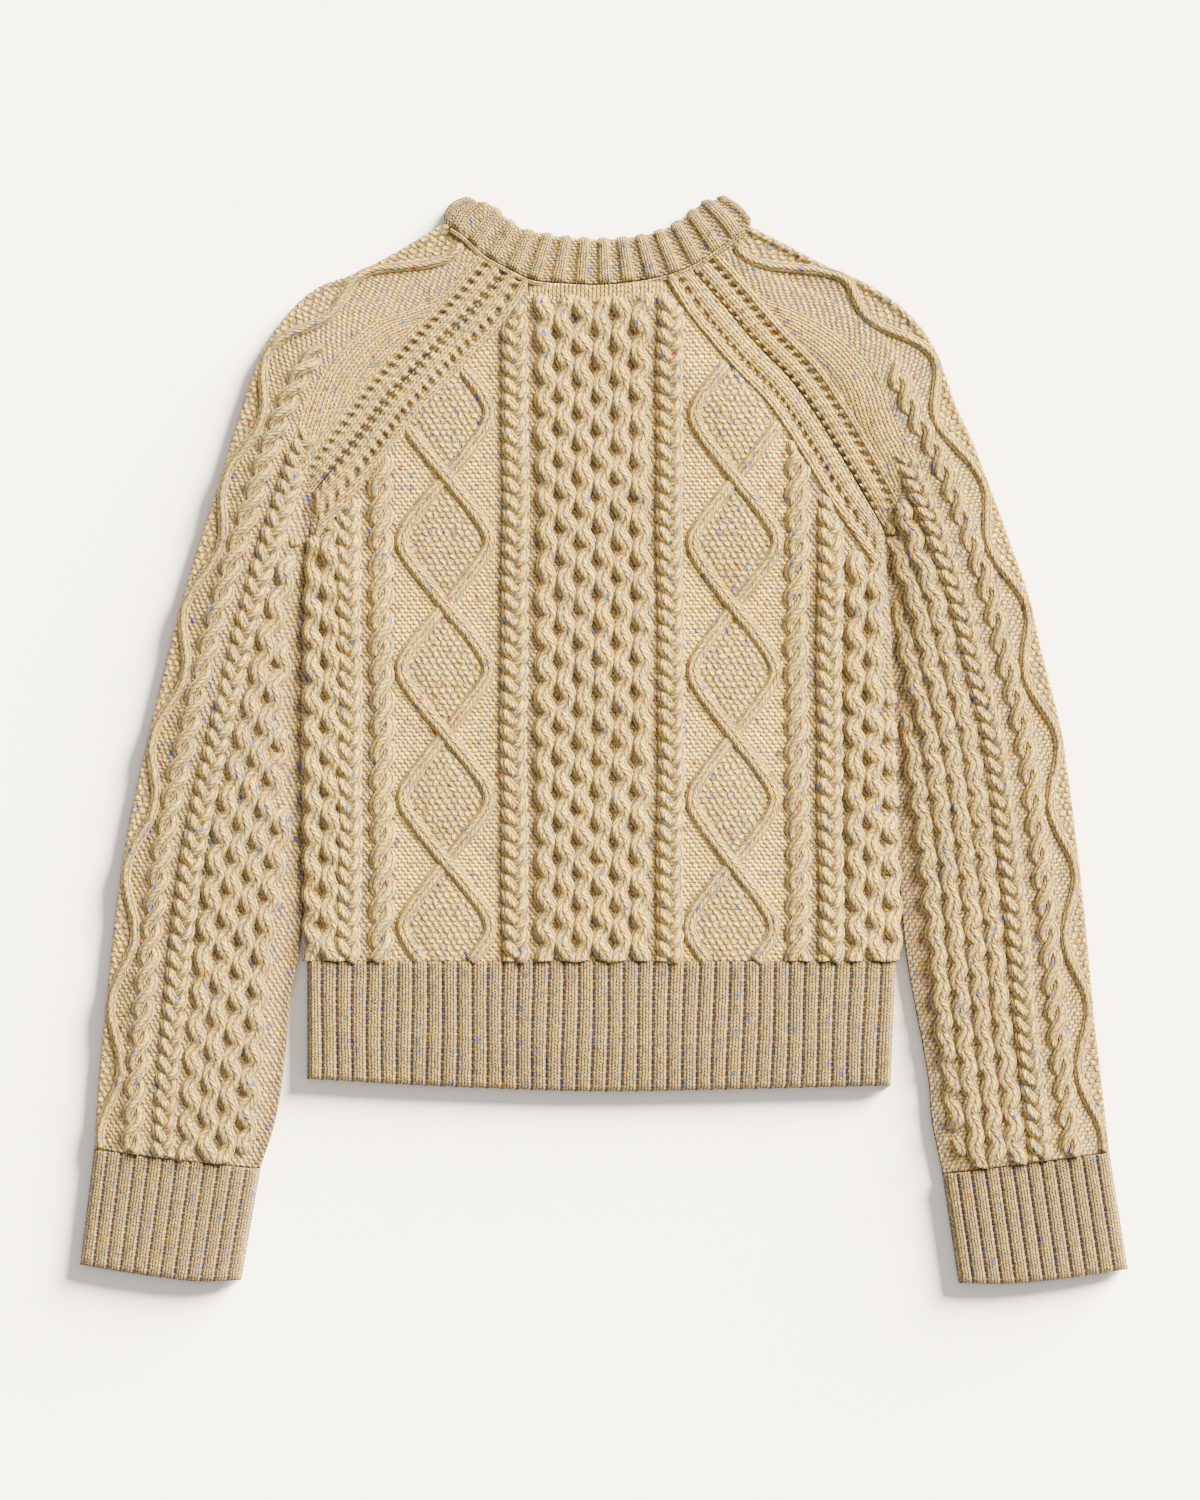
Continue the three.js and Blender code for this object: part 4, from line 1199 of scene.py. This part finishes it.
def makeSleeveCables(arm):
    lower, upper = arm["lowerFold"]["length"], arm["upperFold"]["length"]
    length = np.arange(1.5, lower + upper - 2, sleeveSizes["strandStep"])
    rows = sleeveRows(arm, np.where(length < lower, length / lower, 1 + (length - lower) / upper))
    cap = rows["cap"]
    start, end = ropeBounds(cap)
    plaitEnd = end + sleeveSizes["plaitWidth"]
    twisted = [(-arm["sign"] * offset, lift) for offset, lift in ropePaths(length, sleeveCables["rope"])]
    places = {  # distance of each cable from the fold, and the paths of its strands about that
        "strand": (strandDistance(length, cap), [(0 * length, 0 * length)]),
        "rope": ((start + end) / 2, twisted),
        "plait": ((end + plaitEnd) / 2, plaitPaths(length, sleeveCables["plait"])),
        "honeycomb": (plaitEnd + sleeveSizes["honeycombFrom"],
                      honeycombPaths(length, sleeveCables["honeycomb"])),
    }
    nearBody = 9 if arm["sign"] < 0 else 4
    edgeRoom = mix(mix(13, nearBody, np.clip(length / lower, 0, 1)), 22, smooth(0, 0.12, cap))
    pieces = []
    for label, (centre, paths) in places.items():
        cable = sleeveCables[label]
        halfWidth, height, stitches = cable["strand"]
        endRoom = np.minimum(lower + upper - length - 4, 6 * (1 - smooth(*cable["ends"], cap)))
        tubes = []
        for offset, lift in paths:
            d = centre + offset
            held = smooth(0, 5, np.minimum(rows["width"] - d - edgeRoom, endRoom))
            for run in keptRuns(held):
                part = {key: value[run] for key, value in rows.items()}
                flat = sleevePoint(arm, part, np.maximum(d[run], 2.0))
                base = np.minimum(sleeveGround(arm, part, d[run]), upperTop + 2.6) + lift[run]
                tubes.append(strandTube(flat, base, halfWidth, height, held[run], stitches))
        pieces.append(strandPiece("sleeve_" + arm["name"] + "_" + label, tubes, shadedSleeveCable))
    return pieces


def makeSleeveLace(arm):
    s = np.linspace(1.004, 1.985, int(arm["raglan"]["length"] / lace["cell"]))
    rows = sleeveRows(arm, s)
    seam = sleevePoint(arm, rows, rows["width"] - 0.1)
    border = sleevePoint(arm, rows, rows["width"] - laceWidth(rows["cap"]))
    return laceStrip("lace_sleeve_" + arm["name"], seam, border, 26)


def makeCuff(arm):
    count = cuffRibs["count"]
    top = sleeveRows(arm, np.array([0.0]))
    topFold, topInner = top["fold"][0], top["back"][0]
    end = arm["cuffEnd"]
    low, high = along(end, 0), along(end, 1)
    join = cloth["seamGap"] + 0.1
    share = np.linspace(0, 1, cuffRibs["rows"])[:, None]
    t = np.linspace(0, 1, count * ribbing["samples"] + 1)[None, :]

    def pointsAt(u, z):
        # u goes from the fold to the inner edge
        u = u + 0 * share
        x = mix(mix(low[0], topFold[0], share), mix(high[0], topInner[0], share), u)
        y = mix(mix(low[1], topFold[1] - join, share), mix(high[1], topInner[1] - join, share), u)
        bow = along(end, np.clip(u, 0, 1))[..., 1] - mix(low[1], high[1], u)
        return np.stack([x, y + bow * (1 - share), z + 0 * u], -1)

    width = mix(np.linalg.norm(high - low), np.linalg.norm(topInner - topFold), share)
    edge = (1 - t) * width
    plain = upperTop + mix(0.6, 2.0, share) * np.sin(t * 3.1)
    plain = rolled(np.minimum(edge, t * width + 1.5), plain, middle, cloth["foldRoll"])
    crown = ribProfile(t * count) * smooth(-2, 4, t * width) * smooth(0, 3, edge)
    z = ribEnds(share, plain - 0.9 + cuffRibs["height"] * crown)
    under = np.linspace(1, 0, 12)[None, :]
    underZ = np.where((under > 0.99) | (under < 0.01), 1.2, 0.05)
    innerT = np.array([[0.03, 0.5, 0.985]])
    points = np.concatenate([
        pointsAt(np.maximum(under, 0.012), underZ), pointsAt(t, z),
        pointsAt(innerT, upperFloor)[:, ::-1], pointsAt(innerT, cloth["wall"]),
    ], 1)
    around = points.shape[1]
    faces = gridFaces(len(share), around, wrapped=True)
    across = np.concatenate([-under * 30, ribStitches(t * count), np.full((1, 6), count * 2.0)], 1)
    stitches = np.stack(np.broadcast_arrays(across, share * cuffRibs["length"] / ribbing["row"]), -1)
    kinds = np.zeros(around, int)
    kinds[under.size:under.size + t.size - 1] = ribKinds(t[0] * count)
    piece = newMesh("cuff_" + arm["name"] + "_ribbing", points.reshape(-1, 3),
                    faces.tolist() + tubeCaps(len(share), around), stitches.reshape(-1, 2),
                    [shadedRibKnit, ribGutterShade], np.r_[kinds[faces[:, 0] % around], 0, 0])
    return turnOutwards(piece)


# Neckband: its back half on top, its front half under it

neckband = {
    "ribs": 14,
    "shift": 0.14,  # of the first rib, as a share of one
    "height": 2.3,
    "knitShare": 0.54,
    "samples": 16,
    "frontSamples": 70,
    "turnSamples": 12,
    "across": 22,
    "row": 2.05,
    "edgeRoll": 2.2,
}


def makeNeckband():
    backT = np.linspace(0, 1, neckband["ribs"] * neckband["samples"] + 1)
    shares = np.linspace(0, 1, neckband["across"])
    sections, uvs, knit = [], [], []

    def addSection(seam, top, turnOut, rise, crown, u, bow):
        # One section across the band: its outer skin from the seam to the top edge, then its inner skin
        edge = np.minimum(shares, 1 - shares) * np.linalg.norm(top - seam)
        rounding = np.sqrt(np.clip(1 - (1 - np.clip(edge / neckband["edgeRoll"], 0, 1)) ** 2, 0.12, 1))
        rounding = np.where(shares < 0.5, np.maximum(rounding, 0.75), rounding)
        thick = cloth["wall"] * rounding + crown * smooth(0, 3, edge)
        near = seam + (top - seam) * (shares + 0.02 * crown * smooth(0.6, 1, shares))[:, None]
        near = near + np.sin(math.pi * shares)[:, None] * bow
        hold = cloth["seamGap"] / 2
        out = hold + thick
        outer = np.column_stack([near + turnOut * out[:, None], np.maximum(middle + rise * out, 0.05)])
        inner = np.array([[*(top + turnOut * hold), middle + rise * hold],
                          [*(seam + turnOut * hold), middle + rise * hold]])
        sections.append(np.vstack([outer, inner]))
        length = np.linalg.norm(top - seam)
        up = np.r_[shares * length, length, 0] / neckband["row"]
        uvs.append(np.column_stack([np.full(len(up), u), up]))

    def ends(t, drop):
        lower = drop * math.sin(math.pi * t)
        clear = 6 if drop else 0.8
        return along(neckSeam, t) + [0, clear - lower], along(neckTop, t) - [0, lower * 0.97]

    none = np.zeros(2)

    def bowAt(t):
        # The band's two ends swell outwards
        total = np.zeros(2)
        for end, sign, size in ((0, -1, 4.5), (1, 1, 2.5)):
            seam, top = ends(end, 0)
            ux, uy = (top - seam) / np.linalg.norm(top - seam)
            total += np.array([uy, -ux]) * sign * size * math.exp(-((t - end) / 0.07) ** 2)
        return total

    def addRib(seam, top, out, rise, place, bow):
        rib = np.clip(1 - (np.abs(place % 1 - 0.5) / (neckband["knitShare"] / 2)) ** 4, 0, 1)
        addSection(seam, top, out, rise, neckband["height"] * math.sqrt(rib), place * 4, bow)
        knit.append(rib > 0.05)

    for t in backT:
        addRib(*ends(t, 0), none, 1, t * neckband["ribs"] + neckband["shift"], bowAt(t))

    def horn(t, sign, angles):
        # The band turns over from its back half to its front half
        seam, top = ends(t, 0)
        ux, uy = (top - seam) / np.linalg.norm(top - seam)
        for angle in angles:
            out = np.array([uy, -ux]) * sign * math.sin(angle)
            turned = sign * (angle if sign > 0 else math.pi - angle) * 0.5
            place = t * neckband["ribs"] + neckband["shift"] + turned
            addRib(seam, top, out, math.cos(angle), place, bowAt(t))

    angles = np.linspace(0, math.pi, neckband["turnSamples"])[1:-1]
    horn(1, 1, angles)
    for t in np.linspace(1, 0, neckband["frontSamples"]):
        seam, top = ends(t, cloth["frontNeckDrop"])
        addSection(seam, top, none, -1, 0.0, t * neckband["ribs"] * 4, bowAt(t))
        knit.append(False)
    horn(0, -1, angles[::-1])
    points = np.array(sections)
    count, around = points.shape[:2]
    faces = gridFaces(count + 1, around, wrapped=True) % (count * around)
    # Purl between the ribs and on the front half is a darker copy: painted shade
    kinds = np.where(np.repeat(np.array(knit), around), 0, 1)
    piece = newMesh("neckband_ribbing", points.reshape(-1, 3), faces.tolist(), np.array(uvs).reshape(-1, 2),
                    [neckKnit, neckPurlShade], kinds)
    return turnOutwards(piece)


def makeLinking():
    # The row of stitches that joins the band to the back and the sleeves
    path = along(neckSeam, np.linspace(0.012, 0.988, 170)) - [0, 1.3]
    tube = strandTube(path, upperTop - 0.5, 1.7, 1.8, np.ones(len(path)), 1, around=8)
    return strandPiece("neckband_linking", [tube], neckKnit)


# Putting the sweater together

for arm in (left, right):
    arm["innerLine"] = innerLine(arm)

cables = makeBackCables() + [makeBackLace(arm) for arm in (left, right)]
for piece in cables:
    wearsAs(piece, None, "knit")
wearsAs(makeBack(), "back", "knit", flat=(0.405, 0.475), area=0.165, rests_on=["front"], with_pieces=cables)
print("back made")
wearsAs(makeFront(), "front", "knit", flat=(0.405, 0.42), area=0.155, rests_on=["floor"])
wearsAs(makeHem("hem_back_ribbing", False), "hem_rib_back", "rib", flat=(0.40, 0.085), rests_on=["front"])
wearsAs(makeHem("hem_front_ribbing", True), "hem_rib_front", "rib", flat=(0.40, 0.085), rests_on=["floor"])
print("front and hem made")
for arm in (left, right):
    cables = makeSleeveCables(arm) + [makeSleeveLace(arm)]
    for piece in cables:
        wearsAs(piece, None, "knit")
    wearsAs(makeSleeve(arm), "sleeve_" + arm["name"], "knit", flat=(0.28, 0.70), area=0.134,
            rests_on=["floor"], with_pieces=cables)
    wearsAs(makeCuff(arm), "cuff_" + arm["name"], "rib", flat=(0.226, 0.08), rests_on=["floor"])
print("sleeves made")
linking = makeLinking()
wearsAs(linking, None, "rib")
wearsAs(makeNeckband(), "neckband", "rib", flat=(0.50, 0.03), rests_on=["floor"], with_pieces=[linking])
print("neckband made")


# Floor, light and camera

studio = {
    "floorColour": (0.67, 0.578, 0.408, 1),
    "floorGlow": 0.02,
    "viewCentre": (-2.7, -6.5),
    "viewHeight": 1020,  # of the picture, measured at the sweater
    "cameraDistance": 3000,
    "lights": {  # where it comes from, power, size in degrees, colour, the floor left out or alone
        "window": ((0.62, 0.55, 0.42), 39.5, 42, (1.0, 0.968, 0.86), "EXCLUDE"),
        # lights the floor alone, for its long soft shadow
        "lowWindow": ((0.62, 0.55, 0.11), 226, 32, (1.0, 1.035, 1.13), "INCLUDE"),
    },
    "skyPower": 1.3,
    "skyColour": (0.91, 0.97, 1.24, 1),
}


def makeFloor():
    bpy.ops.mesh.primitive_plane_add(size=8, location=(0, 0, 0))
    floor = bpy.context.object
    floor.name = "floor"
    material, *_ = newMaterial("paleFloor", {
        "Base Color": studio["floorColour"],
        "Roughness": 0.9,
        "Specular IOR Level": 0.1,
        "Emission Color": studio["floorColour"],
        "Emission Strength": studio["floorGlow"],
    })
    floor.data.materials.append(material)
    floor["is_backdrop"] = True
    return floor


def makeLights(floor):
    for name, (come, power, size, colour, linking) in studio["lights"].items():
        sun = bpy.data.lights.new(name, "SUN")
        sun.energy = power
        sun.angle = math.radians(size)
        sun.color = colour
        lamp = bpy.data.objects.new(name, sun)
        bpy.context.scene.collection.objects.link(lamp)
        x, y, z = come
        lamp.rotation_euler = (math.atan2(math.hypot(x, y), z), 0, math.atan2(x, -y))
        linked = bpy.data.collections.new(name + "Receivers")
        linked.objects.link(floor)
        linked.collection_objects[0].light_linking.link_state = linking
        lamp.light_linking.receiver_collection = linked
    world = bpy.data.worlds.new("studio")
    world.use_nodes = True
    sky = world.node_tree.nodes["Background"].inputs
    sky["Color"].default_value = studio["skyColour"]
    sky["Strength"].default_value = studio["skyPower"]
    bpy.context.scene.world = world


def makeCamera():
    data = bpy.data.cameras.new("above")
    distance = studio["cameraDistance"]
    data.lens = data.sensor_width * (distance - upperTop) / studio["viewHeight"]
    data.clip_end = 20
    camera = bpy.data.objects.new("above", data)
    x, y = studio["viewCentre"]
    camera.location = (x * mm, y * mm, distance * mm)
    bpy.context.scene.collection.objects.link(camera)
    bpy.context.scene.camera = camera


makeLights(makeFloor())
makeCamera()
triangles = sum(len(p.vertices) - 2 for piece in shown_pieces() for p in piece.data.polygons)
print("triangles in all:", triangles)
